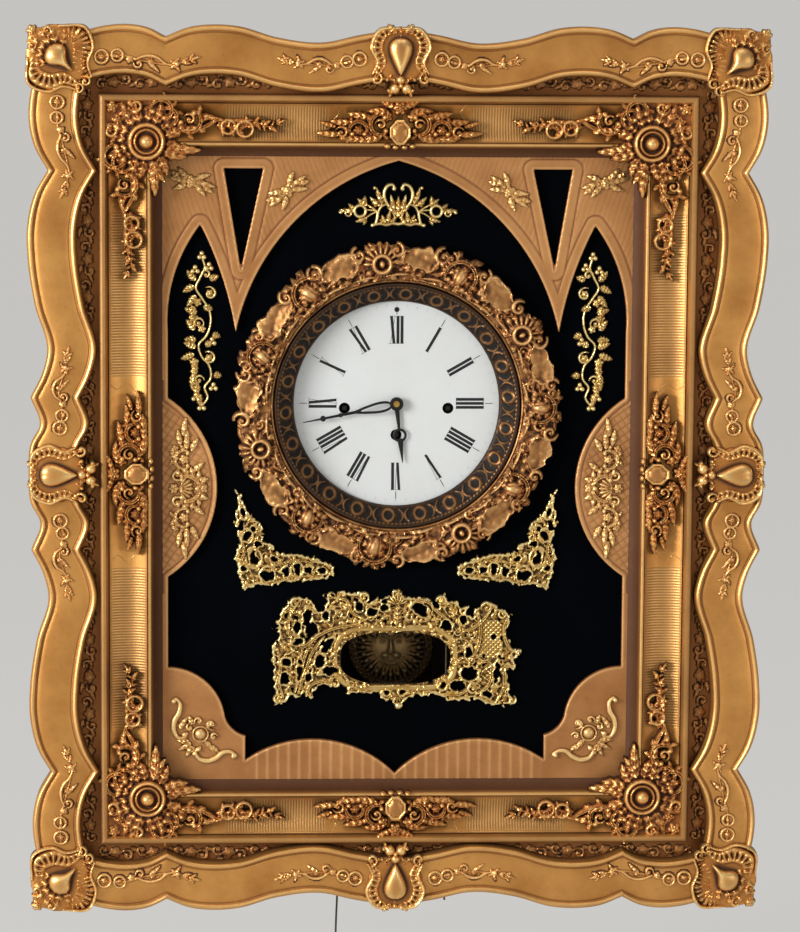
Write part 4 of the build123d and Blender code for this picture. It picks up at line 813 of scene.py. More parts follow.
def signedGap(x, z, shape):  # distance to a closed line, below zero inside it
    gap, odd = np.full(x.shape, 1e9), np.zeros(x.shape, bool)
    for (ax, az), (bx, bz) in zip(shape, np.roll(shape, -1, 0)):
        ex, ez = bx - ax, bz - az
        if ex * ex + ez * ez < 1e-9:
            continue
        s = np.clip(((x - ax) * ex + (z - az) * ez) / (ex * ex + ez * ez), 0, 1)
        gap = np.minimum(gap, (x - ax - s * ex) ** 2 + (z - az - s * ez) ** 2)
        if ez:
            odd ^= ((az > z) != (bz > z)) & (x < ax + (z - az) * ex / ez)
    return np.where(odd, -1, 1) * np.sqrt(gap)


def fretGrid():
    rel = newGrid(0, -fret["halfZ"], fret["halfX"], fret["halfZ"], fret["step"])
    x, z = spread(rel)
    gap = np.minimum(signedGap(x, z, opening), signedGap(x, z, wedge))
    d = np.clip(gap, 0, 40)
    disc = (z < 62) & (z > -85)
    groove = np.where(z > 62, np.exp(-(((d - fret["band"]) / 0.7) ** 2)),
                      np.where(disc, np.exp(-(((d - 3.4) / 0.7) ** 2)), 0.0))
    field = np.clip((d - fret["band"]) / 1.2, 0, 1)
    plank = np.cos(2 * pi * (x - 0.35 * z) / 7.2 + 0.6 * np.sin(z / 9)) ** 6
    lattice = np.maximum(np.cos(pi * (x + 0.7 * z) / 5.6) ** 14, np.cos(pi * (0.7 * x - z) / 5.6) ** 14)
    flute = np.cos(pi * x / fret["flute"]) ** 10
    low = np.clip((-170 - z) / 4, 0, 1) * np.clip((102 - x) / 1.5, 0, 1)
    rel["h"] = (fret["thick"] - 0.5 * groove - 0.35 * np.clip(d - 1.0, 0, 0.8)
                - 0.12 * np.where(z > 62, field * plank, 0)
                - 0.3 * np.where(disc, np.clip((d - 4.5) / 1.0, 0, 1) * lattice, 0) + 0.28 * low * flute
                - 0.6 * np.clip(1 - d / 0.9, 0, 1) ** 2)
    edge = np.minimum(fret["halfX"] - 0.3 - x, fret["halfZ"] - 0.3 - np.abs(z))
    rel["c"] = np.minimum(gap, edge)
    return rel


half = fretGrid()
full = {"xs": np.concatenate([-half["xs"][:0:-1], half["xs"]]), "zs": half["zs"], "step": half["step"]}
for key in ("h", "c", "tint"):
    full[key] = np.concatenate([half[key][:, :0:-1], half[key]], 1)
makePiece("carved_fret", carve(full, onFace(place["velvet"]), 0.0, 0.0, reach=2.2, depth=0.5), fretGilt,
          ["gothic_fret"])

# Velvet over the panel, cut out at the dial and at the window
cloth = {"halfX": 166.8, "halfZ": 221.3, "step": 2.6, "dial": 80.5, "window": (79.0, 38.0, 16.0),
         "windowZ": -130.5}


def windowGap(x, z):  # below zero inside the pendulum window
    w, h, r = cloth["window"]
    u, v = np.abs(x) - w / 2 + r, np.abs(z - cloth["windowZ"]) - h / 2 + r
    return np.hypot(np.maximum(u, 0), np.maximum(v, 0)) + np.minimum(np.maximum(u, v), 0) - r


rel = newGrid(-cloth["halfX"], -cloth["halfZ"], cloth["halfX"], cloth["halfZ"], cloth["step"])
x, z = spread(rel)
rel["c"] = np.minimum(np.minimum(np.hypot(x, z - dialUp) - cloth["dial"], windowGap(x, z)), 1.0)
rel["h"] = 0.04 * np.sin(x * 0.31 + 0.7 * np.sin(z * 0.09)) * np.sin(z * 0.27)
p, q, _ = carve(rel, onFace(place["velvet"]), -0.06, 0.0, reach=8.0)
cover = makePiece("velvet_sheet", (p, q, {}), velvet, ["velvet_cover"])
print("fret and velvet ready")


# Carved ornament on the outer frame
def rocaille(rel, x0, z0, r, start, sweep, w, top):  # C scroll with a ruffled outer edge and rolled ends
    a = np.radians(start + sweep * np.linspace(0, 1, 22))
    pts = np.c_[x0 + r * np.cos(a), z0 + r * np.sin(a)]
    hand = 1 if sweep > 0 else -1
    for share in (0.12, 0.32, 0.52, 0.72, 0.9):
        aim = start + sweep * share
        leaf(rel, *around(x0, z0, r, aim), aim + 24 * hand, 0.85 * r, 0.55 * r, 0.85 * top, 0.3 * hand, 2)
    stroke(rel, pts, (0.6 * w, w, 1.15 * w, w, 0.6 * w), (0.8 * top, top, top, top, 0.8 * top), "reed")
    for end in (0, -1):
        ball(rel, *(pts[end] * 0.8 + np.array([x0, z0]) * 0.2), 1.1 * w, 1.15 * top)


def sprig(rel, path, size, top, count, flip):  # leafy trail with curls and flowers
    line = smooth(path, 80)
    way = np.gradient(line, axis=0)
    aims = np.degrees(np.arctan2(way[:, 1], way[:, 0]))
    stroke(rel, line[::8], (0.24 * size, 0.2 * size, 0.14 * size), (0.75 * top, 0.7 * top, 0.5 * top))
    for k in range(count):
        i = int(79 * (0.05 + 0.86 * k / (count - 1)))
        s, side, aim = size * (1 - 0.4 * k / count), flip * (-1) ** k, aims[i]
        x, z = line[i]
        nx, nz = -sin(radians(aim)) * side, cos(radians(aim)) * side
        leaf(rel, x, z, aim + 44 * side, 1.6 * s, 0.85 * s, top, 0.25 * side, 3)
        leaf(rel, x, z, aim - 32 * side, 1.3 * s, 0.62 * s, 0.85 * top, -0.2 * side, 3)
        if k % 2:
            curl(rel, x + 0.5 * s * nx, z + 0.5 * s * nz, 0.6 * s, aim, -400 * side, 0.19 * s, 0.95 * top)
        else:
            flower(rel, x + 0.25 * s * nx, z + 0.25 * s * nz, 0.62 * s, 1.1 * top, 5, aim)
    x, z = line[-1]
    for turn, long in ((0, 1.9), (34, 1.2), (-34, 1.2)):
        leaf(rel, x, z, aims[-1] + turn, long * 0.75 * size, 0.4 * size, 0.7 * top, 0.1, 3)


def scatter(rel, within, box, count, size, top, seed):  # dense scroll work inside a region
    dice = np.random.default_rng(seed)
    for k in range(count):
        x, z = dice.uniform(box[0], box[2]), dice.uniform(box[1], box[3])
        aim, grow, hand = dice.uniform(0, 360), dice.uniform(0.75, 1.2), dice.choice((-1, 1))
        if not within(x, z):
            continue
        if k % 4 == 0:
            curl(rel, x, z, size * grow, aim, 420 * hand, 0.24 * size, top)
        elif k % 4 == 3:
            flower(rel, x, z, 0.72 * size * grow, 1.15 * top, 5, aim)
        else:
            leaf(rel, x, z, aim, 2.0 * size * grow, 0.95 * size, 0.95 * top, 0.3 * hand, 3)


def onPlate(x, z, gap):  # a point inside plateShape, at least that far from its edge
    return signedGap(np.array([x]), np.array([z]), plateShape)[0] < -gap


def turnedFour(rel, rail, stile, face, sink):  # one drawing on both rails and both stiles
    parts = []
    for sx, sz in ((0, 1), (0, -1), (1, 0), (-1, 0)):
        def lay(a, b, h, sx=sx, sz=sz):
            if sx == 0:
                return np.stack([a, face - h, sz * (b + rail) + frameZ], -1)
            return np.stack([sx * (b + stile), face - h, a + frameZ], -1)
        p, q, t = carve(rel, lay, 0.4, sink, reach=2.4, depth=1.5)
        parts.append((p, q[:, ::-1] if sz == -1 or sx == 1 else q, t))
    return joinParts(parts)


def fourCorners(rel, x, z, face, sink):
    parts = []
    for sx, sz in ((-1, -1), (-1, 1), (1, -1), (1, 1)):
        def lay(a, b, h, sx=sx, sz=sz):
            return np.stack([sx * (a + x), face - h, sz * (b + z) + frameZ], -1)
        p, q, t = carve(rel, lay, 0.4, sink, reach=2.4, depth=1.5)
        parts.append((p, q[:, ::-1] if sx * sz < 0 else q, t))
    return joinParts(parts)


corner = {"x": 228.3, "z": 280.6, "step": 0.5, "face": place["bead"] + 2.0}
rel = newGrid(-25, -25, 22, 22, corner["step"])  # the outer corner of the frame is up and to the right
part, x, z = window(rel, (-25, -25), (22, 22))
outline = np.maximum(np.abs(x - 1.5), np.abs(z - 1.5)) * 0.55 + np.hypot(x - 1.5, z - 1.5) * 0.45
merge(rel, part, 20.0 + 0.7 * np.cos(9 * np.arctan2(z, x)) - outline, 3.0 * bow(outline / 20.5, 8))
stroke(rel, [(-2, 15.5), (-12, 14.5), (-16, 6), (-14, -4), (-18, -12)], (3.0, 6.2, 6.4, 5.0, 2.4),
       (4.0, 5.2, 5.4, 4.8, 3.8), "cove")
stroke(rel, [(-1, 20.6), (-18, 19.5), (-23, 7), (-19.5, -4), (-22, -13)], (1.0, 1.3, 1.4, 1.3, 1.0),
       (3.8, 4.8, 5.0, 4.6, 3.8))
stroke(rel, [(15.5, -2), (14.5, -12), (6, -16), (-4, -14), (-12, -18)], (3.0, 6.0, 6.2, 5.0, 2.4),
       (4.0, 5.2, 5.4, 4.8, 3.8), "dots")
stroke(rel, [(20.6, -1), (19.5, -18), (7, -23), (-4, -19.5), (-13, -22)], (1.0, 1.3, 1.4, 1.3, 1.0),
       (3.8, 4.8, 5.0, 4.6, 3.8))
for aim, size, bend in ((8, 15, 0.2), (32, 17, 0.1), (58, 17, -0.1), (82, 15, -0.2), (112, 12, -0.2),
                        (-22, 12, 0.2)):
    leaf(rel, *around(0, 0, 6, aim), aim, size, 8.5, 4.4, bend, 3)
for sx, sz, hand in ((17.5, 7.5, 1), (7.5, 17.5, -1), (-18, -16, 1), (-13.5, -20, -1)):
    curl(rel, sx, sz, 4.0, 40 * hand, 430 * hand, 1.25, 4.6)
flower(rel, 17.2, 17.2, 4.4, 5.4, 6)
part, x, z = window(rel, (-15, -15), (14, 14))
u, v = (x + z) / sqrt(2), (z - x) / sqrt(2)  # pear boss, its stalk towards the inner corner
girth = 8.8 * np.clip(0.6 + 0.42 * np.tanh((u + 2.5) / 4.0), 0.22, 1)
d = np.hypot(np.where(u > 0, u / 9.4, u / 13.0), v / girth)
merge(rel, part, (1 - d) * 8, 3.6 + 5.8 * bow(d))
makePiece("corner_cartouches", fourCorners(rel, corner["x"], corner["z"], corner["face"], 3.0), overlay,
          ["outer_corner_cartouches"])

middle = {"step": 0.5, "rail": 280.6, "stile": 227.8, "face": place["bead"] + 2.0}
rel = newGrid(-22, -27, 22, 24, middle["step"])  # heart boss with its point down, drawn for the top rail
part, x, z = window(rel, (-22, -27), (22, 24))
outline = np.hypot(x / 19.0, (z - 2) / 19.0)
merge(rel, part, (1.0 + 0.02 * np.cos(12 * np.arctan2(z, x)) - outline) * 16, 2.8 * bow(outline, 8))
for side in (-1, 1):
    stroke(rel, [(side * 2, 18), (side * 11, 17), (side * 15.5, 8), (side * 12.5, -3), (side * 16, -11)],
           (1.6, 3.6, 4.2, 3.4, 1.8), (3.4, 4.4, 4.6, 4.2, 3.4), "dots")
    stroke(rel, [(side * 1, 20.2), (side * 14, 18.8), (side * 19.6, 8), (side * 15.6, -3),
                 (side * 18.6, -10)], (1.0, 1.4, 1.5, 1.4, 1.0), (3.8, 4.8, 5.0, 4.6, 3.8))
    curl(rel, side * 16.2, -13.5, 4.2, 90, 400 * side, 1.3, 4.8)
    rocaille(rel, side * 8.0, -17.5, 4.6, 90 - 20 * side, 200 * side, 1.3, 4.4)
    leaf(rel, side * 3, 17, 90 - 50 * side, 8, 6.0, 4.8, 0.12 * side, 3)
for sx, sz in ((0, -14.2), (-3.8, -19.8), (3.8, -19.8)):
    ball(rel, sx, sz, 3.8, 5.6)
ball(rel, 0, -18.0, 2.0, 6.4)
flower(rel, 0, 17.8, 3.6, 5.0, 5)
part, x, z = window(rel, (-13, -15), (13, 18))
y = np.clip((z - 1.5) / 12.5, -1, 1)
girth = np.maximum(10.6 * bow(y) * np.clip(0.62 + 0.42 * y, 0.14, 1), 0.02)
bulge = bow(x / girth)
notch = 0.8 * np.exp(-((x / 1.6) ** 2)) * np.clip(y - 0.3, 0, 1)
merge(rel, part, girth - np.abs(x), 3.6 + 4.8 * bulge * bow(y, 4) - notch)
makePiece("middle_cartouches", turnedFour(rel, middle["rail"], middle["stile"], middle["face"], 3.0), overlay,
          ["outer_middle_cartouches"])

garlands = {
    "face": place["base"] - 11.9, "size": 6.4, "top": 2.6, "step": 0.5, "outline": 0.7,
    "rails": [((100, 262, 212, 299), [(204, 280.5), (188, 282), (170, 278), (152, 276), (136, 281)], 1),
              ((14, 262, 100, 299), [(24, 281), (38, 278), (52, 276), (66, 277), (80, 279.5)], -1)],
    "stiles": [((206, 160, 245, 262), [(229, 255), (229.5, 238), (225, 220), (222, 204), (226, 188)], -1),
               ((206, 16, 245, 104), [(229, 28), (227, 42), (229, 56), (225, 70), (223, 84)], 1)],
}


def chain(rel, path, size, top, flip):  # two rings, a flower, a curl, a looped scroll, then leaves
    line = smooth(path, 80)
    way = np.gradient(line, axis=0)
    aims = np.arctan2(way[:, 1], way[:, 0])

    def spot(share, side=0.0):
        k = int(79 * share)
        n = side * size * flip
        return line[k, 0] - n * sin(aims[k]), line[k, 1] + n * cos(aims[k])

    def aim(share):
        return np.degrees(aims[int(79 * share)])
    stroke(rel, line[::6], (0.12 * size, 0.15 * size, 0.12 * size), (0.5 * top,))
    ring(rel, *spot(0.07), 0.68 * size, 0.16 * size, 0.85 * top)
    flower(rel, *spot(0.07), 0.44 * size, 0.9 * top, 5, aim(0.07))
    ring(rel, *spot(0.22), 0.6 * size, 0.16 * size, 0.85 * top)
    leaf(rel, *spot(0.17), aim(0.2) + 12 * flip, 0.95 * size, 0.5 * size, 0.9 * top, 0.1, 2)
    flower(rel, *spot(0.35, 0.2), 0.46 * size, top, 5)
    curl(rel, *spot(0.44, 0.42), 0.5 * size, aim(0.44) + 180, -380 * flip, 0.16 * size, top)
    loop = [spot(s, n) for s, n in ((0.4, 0.1), (0.46, -0.42), (0.54, -0.66), (0.62, -0.55), (0.69, -0.1),
                                    (0.76, 0.15))]
    stroke(rel, loop, (0.14 * size, 0.2 * size, 0.18 * size, 0.12 * size), (0.8 * top, top, top, 0.7 * top))
    flower(rel, *spot(0.55, -0.1), 0.42 * size, 0.9 * top, 5, 30)
    leaf(rel, *spot(0.52, 0.1), aim(0.52) + 20 * flip, 1.5 * size, 0.5 * size, 0.8 * top, 0.2 * flip, 3)
    for turn, share, long in ((55, 0.78, 0.9), (-50, 0.78, 0.9), (150, 0.8, 0.8), (-150, 0.8, 0.8),
                              (20, 0.86, 1.0), (-28, 0.86, 0.9), (0, 0.93, 1.2), (40, 0.93, 0.8),
                              (-40, 0.93, 0.8)):
        leaf(rel, *spot(share), aim(share) + turn, long * size, 0.42 * size, 0.85 * top, 0.12, 3)
    ball(rel, *spot(0.8), 0.3 * size, top)


for key in ("rails", "stiles"):
    parts = []
    for box, path, flip in garlands[key]:
        rel = newGrid(*box, garlands["step"])
        chain(rel, path, garlands["size"], garlands["top"], flip)
        # the widened cover leaves a flat dark rim round each garland, a painted shadow at its foot
        rel["c"] = rel["c"] + garlands["outline"]
        parts.append(carve(rel, onFace(garlands["face"]), 0.2, 1.4, quarters))
    makePiece(key[:-1] + "_garlands", joinParts(parts), garlandGilt)
print("outer ornament ready")

# Carved ornament on the inner frame: a ball in two rings at each corner, with arms along both members
rosette = {"x": 181.0, "z": 235.5, "step": 0.6, "ball": (-11.0, -11.0), "face": place["panel"] + 0.8}
rel = newGrid(-112, -112, 23, 23, rosette["step"])
bx, bz = rosette["ball"]
part, x, z = window(rel, (-34, -34), (23, 23))
mass = 0.5 * np.maximum(np.abs(x + 4), np.abs(z + 4)) + 0.5 * np.hypot(x + 4, z + 4)
merge(rel, part, 21.6 + 1.2 * np.cos(9 * np.arctan2(z + 4, x + 4)) - mass, 1.2)
for k in range(16):
    aim = 22.5 * k + 6
    size = 22 if 0 <= aim <= 100 else 17 + 3 * (k % 2)
    leaf(rel, *around(bx, bz, 9.5, aim), aim, size, 9.5, 3.4 + 0.8 * (k % 2), 0.2 * (-1) ** k, 4)
for swap in (False, True):
    def at(a, b):
        return (b, a) if swap else (a, b)

    def spin(aim):
        return 90 - aim if swap else aim
    hand = -1 if swap else 1
    leaf(rel, *at(-20, -15), spin(187), 28, 9.5, 3.8, -0.06 * hand, 5)  # along the sight edge
    leaf(rel, *at(-24, -17.5), spin(178), 15, 6.0, 3.2, 0.15 * hand, 3)
    rocaille(rel, *at(-25, 5), 6.4, spin(20), 250 * hand, 1.8, 4.8)
    flower(rel, *at(-25, 5), 4.6, 5.6, 6)
    rocaille(rel, *at(-40, 3), 7.4, spin(-10), -230 * hand, 1.9, 4.6)
    curl(rel, *at(-40, 4), 4.0, spin(30), 400 * hand, 1.3, 4.2)
    leaf(rel, *at(-34, -4), spin(165), 17, 7.0, 4.0, 0.2 * hand, 4)
    leaf(rel, *at(-46, 7), spin(200), 13, 5.5, 3.6, -0.2 * hand, 3)
    stroke(rel, [at(*p) for p in ((-46, -3), (-54, 1), (-60, 4), (-64, 2))], (1.8, 2.0, 1.6, 1.2),
           (3.6, 3.8, 3.4, 3.0), "reed")
    for along, across, r in ((-66, -1, 4.6), (-77, -2.4, 5.2)):
        ring(rel, *at(along, across), r, 1.2, 3.6)
    leaf(rel, *at(-63, 2.6), spin(176), 20, 3.4, 3.4, 0.03 * hand, 5)
    sprig(rel, [at(*p) for p in ((-60, 2), (-72, -3), (-84, 2), (-94, -1), (-98, 1))], 5.4, 3.0, 7, hand)
for sx, sz in ((8, 3), (3, 8), (9, -20), (-20, 9), (12, 12)):
    flower(rel, sx, sz, 5.0, 5.4, 5, 20 * sx)
rocaille(rel, 10, -21, 7.6, 200, 260, 2.2, 5.0)
rocaille(rel, -21, 10, 7.0, 250, -260, 2.0, 5.0)
curl(rel, 13, -4, 5.0, 100, 420, 1.6, 4.8)
curl(rel, -4, 13, 5.0, -10, -420, 1.6, 4.8)
part, x, z = window(rel, (bx - 16, bz - 16), (bx + 16, bz + 16))
d = np.hypot(x - bx, z - bz)
rel["h"][part] = np.where(d < 12.6, 3.8, rel["h"][part])
ring(rel, bx, bz, 11.0, 2.0, 7.0)
ring(rel, bx, bz, 7.8, 1.7, 6.4)
ball(rel, bx, bz, 5.6, 10.2)
makePiece("corner_rosettes", fourCorners(rel, rosette["x"], rosette["z"], rosette["face"], 6.4), rosetteGilt,
          ["inner_corner_rosettes"])

spray = {"step": 0.55, "rail": 235.0, "stile": 180.5, "face": place["panel"] + 0.8}
rel = newGrid(-58, -20, 58, 20, spray["step"])  # drawn for the top rail, the sight edge below
for side in (-1, 1):
    rocaille(rel, side * 13, 1.5, 6.8, 90 + 30 * side, -250 * side, 1.9, 4.6)
    curl(rel, side * 13, 1.5, 4.0, 90 - 90 * side, 400 * side, 1.3, 4.4)
    rocaille(rel, side * 28, -2.5, 6.0, 90 - 120 * side, 240 * side, 1.8, 4.4)
    flower(rel, side * 28, -2.5, 4.2, 5.0, 6)
    curl(rel, side * 39, -4, 4.4, 90 - 60 * side, 420 * side, 1.4, 4.0)
    for lx, lz, aim, long, wide, bend in ((7, 9, 16, 15, 7, -0.2), (19, 6, 4, 17, 7, 0.12),
                                          (32, 3, -8, 15, 6, 0.2), (40, -5, -2, 16, 5.5, 0.1),
                                          (43, 0, 8, 11, 4, 0.15), (12, -6, -20, 17, 7, 0.15),
                                          (24, -8, -4, 17, 6, 0.1), (2, 13, 12, 13, 5.5, 0.2)):
        leaf(rel, side * lx, lz, 90 - side * (90 - aim), long, wide, 4.0, bend * side, 4)
    for fx, fz, r in ((20, -7, 4.6), (20.5, 5.5, 3.8), (8.6, 6.5, 4.2), (35, -8, 3.4)):
        flower(rel, side * fx, fz, r, 5.2, 5, 30 * side)
    for k in range(2):
        ball(rel, side * (3.0 + 5.4 * k), -13.6 + 0.6 * k, 2.5, 4.6, 0.75)
flower(rel, 0, 12.4, 5.4, 5.8, 6)
part, x, z = window(rel, (-9, -14), (9, 7))
d = np.maximum(np.maximum(np.abs(x), np.abs(z + 3.6) * 0.86), (np.abs(x) + np.abs(z + 3.6) * 0.86) / 1.36)
merge(rel, part, 7.2 - d, np.where(d > 5.4, 6.6 - np.abs(d - 6.3) * 0.9, 5.2 + 2.4 * bow(d / 5.4)))
makePiece("middle_sprays", turnedFour(rel, spray["rail"], spray["stile"], spray["face"], 6.4), rosetteGilt,
          ["inner_middle_sprays"])
print("inner ornament ready")

# Lace of small curls in the channel between the two frames, in the darker channel gilding that paints its
# shade
lace = {"pitch": 26.0, "step": 0.95, "wide": 16.0, "rail": (205.0, 257.6), "stile": (258.0, 203.2)}


def laceStrip(key):
    half, near = lace[key]
    rel = newGrid(-half, near, half, near + lace["wide"], lace["step"])
    for k in range(int(2 * half / lace["pitch"]) + 1):
        x = -half + (k + 0.5) * lace["pitch"]
        flower(rel, x, near + 6.5, 4.6, 1.9, 5, 30 * k)
        curl(rel, x + 8, near + 8.5, 4.4, 200, 420, 1.2, 1.6)
        curl(rel, x - 8, near + 5, 4.2, 20, 420, 1.2, 1.6)
        leaf(rel, x + 10, near + 3, 20, 8, 3.6, 1.4, 0.2, 3)
        leaf(rel, x - 4, near + 11, 160, 9, 3.8, 1.4, 0.2, 3)
    line = bandEdge(key, band["wide"]).T
    edge = np.interp(np.abs(rel["xs"]), *(line if key == "rail" else line[::-1]))
    _, z = spread(rel)
    rel["c"] = np.minimum(np.maximum(rel["c"], -3.0), edge[None, :] - 0.4 - z)
    return rel


parts = []
for key in ("rail", "stile"):
    rel = laceStrip(key)
    for side in (-1, 1):
        def lay(a, b, h, key=key, side=side):
            y = place["base"] - h
            if key == "rail":
                return np.stack([a, y, side * b + frameZ], -1)
            return np.stack([side * b, y, a + frameZ], -1)
        p, q, t = carve(rel, lay, 0.2, 0.3)
        parts.append((p, q[:, ::-1] if (side < 0) == (key == "rail") else q, t))
makePiece("channel_lace", joinParts(parts), shadedChannelGilt)

# Wreath round the dial
wreath = {"step": 0.5, "inner": 84.3, "outer": 107.8, "units": 11, "seed": 7, "limit": 113.6, "twigs": 26}
rng = np.random.default_rng(wreath["seed"])
rel = newGrid(-114.5, -114.5, 114.5, 114.5, wreath["step"])
x, z = spread(rel)
d, a = np.hypot(x, z), np.arctan2(x, z)


def wreathEdge(a):
    return wreath["outer"] + 1.5 * np.cos(11 * a + 0.5) + 0.8 * np.cos(29 * a)


rel["c"] = wreathEdge(a) - d
ground, ruffle = folds(rel, 10.0, wreath["seed"]), folds(rel, 5.0, wreath["seed"] + 1)
ribs = bow(ground / 0.4)
rel["h"] = 1.8 + 1.7 * ribs + 0.4 * np.clip(ruffle, -2, 2)
rel["tint"] = 0.7 * (1 - ribs)


def polar(turn, r):
    return r * sin(radians(turn)), r * cos(radians(turn))


def leafPanel(turn, r, long, wide, skew):  # matt folded plate with a rolled border
    px, pz = polar(turn, r)
    part, wx, wz = window(rel, (px - 1.4 * long, pz - 1.4 * long), (px + 1.4 * long, pz + 1.4 * long))
    u, v = turned(wx - px, wz - pz, -turn)
    v = v + u**2 / (2.1 * r)
    girth = wide * (1 - 0.32 * skew * u / long) * (0.92 + 0.08 * np.cos(2.6 * u / long * pi + turn))
    e = (np.abs(u / long) ** 2.8 + np.abs(v / girth) ** 2.8) ** (1 / 2.8)
    e = e + 0.05 * ruffle[part]
    plate = 3.2 + 2.2 * np.abs(v - 0.3 * skew * u) / wide + 0.22 * ruffle[part]
    rel["h"][part] = np.where(e < 0.84, plate, rel["h"][part])
    merge(rel, part, (1 - e) * 6, np.where(e > 0.78, 5.4 * bow((e - 0.9) / 0.13), 0))
    rel["tint"][part] = np.maximum(rel["tint"][part], np.clip((0.86 - e) * 10, 0, 1))


def dome(x0, z0, r, top, aim, hand):  # creased dome held in a C scroll
    rocaille(rel, x0, z0, 1.42 * r, aim - 130 * hand, 270 * hand, 0.26 * r, 0.8 * top)
    ball(rel, x0, z0, r, top, 0.84, aim)
    part, x, z = window(rel, (x0 - r, z0 - r), (x0 + r, z0 + r))
    u, v = turned(x - x0, z - z0, aim)
    fade = np.clip(1 - np.hypot(u, v) / r, 0, 0.4)
    crease = np.exp(-(((np.abs(v) - 0.36 * r - 0.12 * u) / 0.6) ** 2)) * fade
    rel["h"][part] -= 2.2 * crease


for k in range(22):  # rolled outer edge
    arc = np.radians(np.linspace(k, k + 1, 12) * 360 / 22)
    edge = wreathEdge(arc) - 1.3
    stroke(rel, np.c_[edge * np.sin(arc), edge * np.cos(arc)], (1.4,), (2.4,))
for k in range(66):  # leaves and volutes underneath
    turn, r = 360 / 66 * k + rng.uniform(-2, 2), rng.uniform(88, 106)
    lx, lz = polar(turn, r)
    if k % 3:
        leaf(rel, lx, lz, rng.uniform(0, 360), rng.uniform(12, 17), 8.0, rng.uniform(3.0, 4.4),
             rng.uniform(-0.3, 0.3), 3)
    else:
        curl(rel, lx, lz, rng.uniform(3.6, 5.4), rng.uniform(0, 360), 400 * rng.choice((-1, 1)), 1.5,
             rng.uniform(3.6, 4.8))
for k in range(wreath["twigs"]):  # twigs along the inner edge
    turn = 360 / wreath["twigs"] * k + rng.uniform(-3, 3)
    lift, lean = rng.uniform(87.2, 90.0), rng.uniform(-1.6, 1.6)
    stroke(rel, [polar(turn - 6, lift - lean), polar(turn, lift + 0.5), polar(turn + 6, lift + lean)],
           (0.5, 1.3, 1.4, 0.5), (4.0, 5.2, 5.0, 3.8))
for k in range(wreath["units"]):
    step = 360 / wreath["units"]
    turn = step * k + 9 + rng.uniform(-2.5, 2.5)
    mid = turn + 0.5 * step + rng.uniform(-1.5, 1.5)
    fx, fz = polar(mid, 97.6)
    hand = 1 if k % 2 else -1
    for n in range(7):
        aim, long = 360 / 7 * n + rng.uniform(-12, 12), rng.uniform(14, 18)
        leaf(rel, fx, fz, aim, long, 8.2, 5.0, 0.25 * (-1) ** n, 3)
    leafPanel(turn, 102.0, 13.6 * rng.uniform(0.85, 1.2), 8.2 * rng.uniform(0.9, 1.12), hand)
    for side in (-1, 1):
        r = 5.4 * rng.uniform(0.85, 1.15)
        curl(rel, *polar(turn + side * 8.6, 106.0), r, 90 - turn, 400 * side, 2.0, 5.8)
        aim, long = 90 - turn - side * 76, 16 * rng.uniform(0.85, 1.1)
        leaf(rel, *polar(turn + side * 1.0, 93.4), aim, long, 8.0, 5.2, 0.25 * side, 3)
    if k % 3 == 1:  # ringed bud with a fan of petals outwards
        shell(rel, fx, fz, 90 - mid, 15.0, 190, 9, 6.0)
        ring(rel, fx, fz, 5.8, 1.9, 7.6)
        ball(rel, fx, fz, 3.4, 7.4, 0.7, 90 - mid)
    else:
        dome(fx, fz, 7.4 * rng.uniform(0.92, 1.1), 8.2, 90 - mid + rng.uniform(-25, 25), hand)
        curl(rel, *polar(mid + 5.6 * hand, 106.4), 4.6, 90 - mid, 400 * hand, 1.8, 5.6)
    leaf(rel, *polar(turn - 3, 90.6), -turn, 10.5, 6.0, 4.8, 0.1, 2)
rel["h"] = np.where(d < 86.4, np.maximum(1.6 * bow((d - 85.4) / 1.0), 0.2), rel["h"])
rel["c"] = np.minimum(np.minimum(rel["c"], wreath["limit"] - d), d - wreath["inner"])
rel["h"] = rel["h"] + 1.0 + 6.0 * bow((d - 95.5) / 17.5)
makePiece("flower_wreath", carve(rel, onFace(place["velvet"], dialUp), 0.0, 0.0, reach=2.2, depth=1.25),
          wreathGilt, ["dial_wreath"])

# Bezel: sloping ring with ovals and pairs of arcs in turn
bezel = {"count": 44, "across": 16, "turnSteps": 24, "inner": (70.5, -97.4), "outer": (82.2, -111.2),
         # lip and back rows: radius, depth, painted shade, painted highlight; the back rows lie dark under
         # the wreath as painted shade
         "lip": [(70.5, -95.9, 0.6, 0.0), (70.3, -96.6, 0.3, 0.4)],
         "back": [(82.6, -111.5, 0.5, 0.2), (83.4, -111.3, 0.6, 0.2), (83.8, -110.6, 0.8, 0.0),
                  (83.8, -103.5, 1.0, 0.0)]}


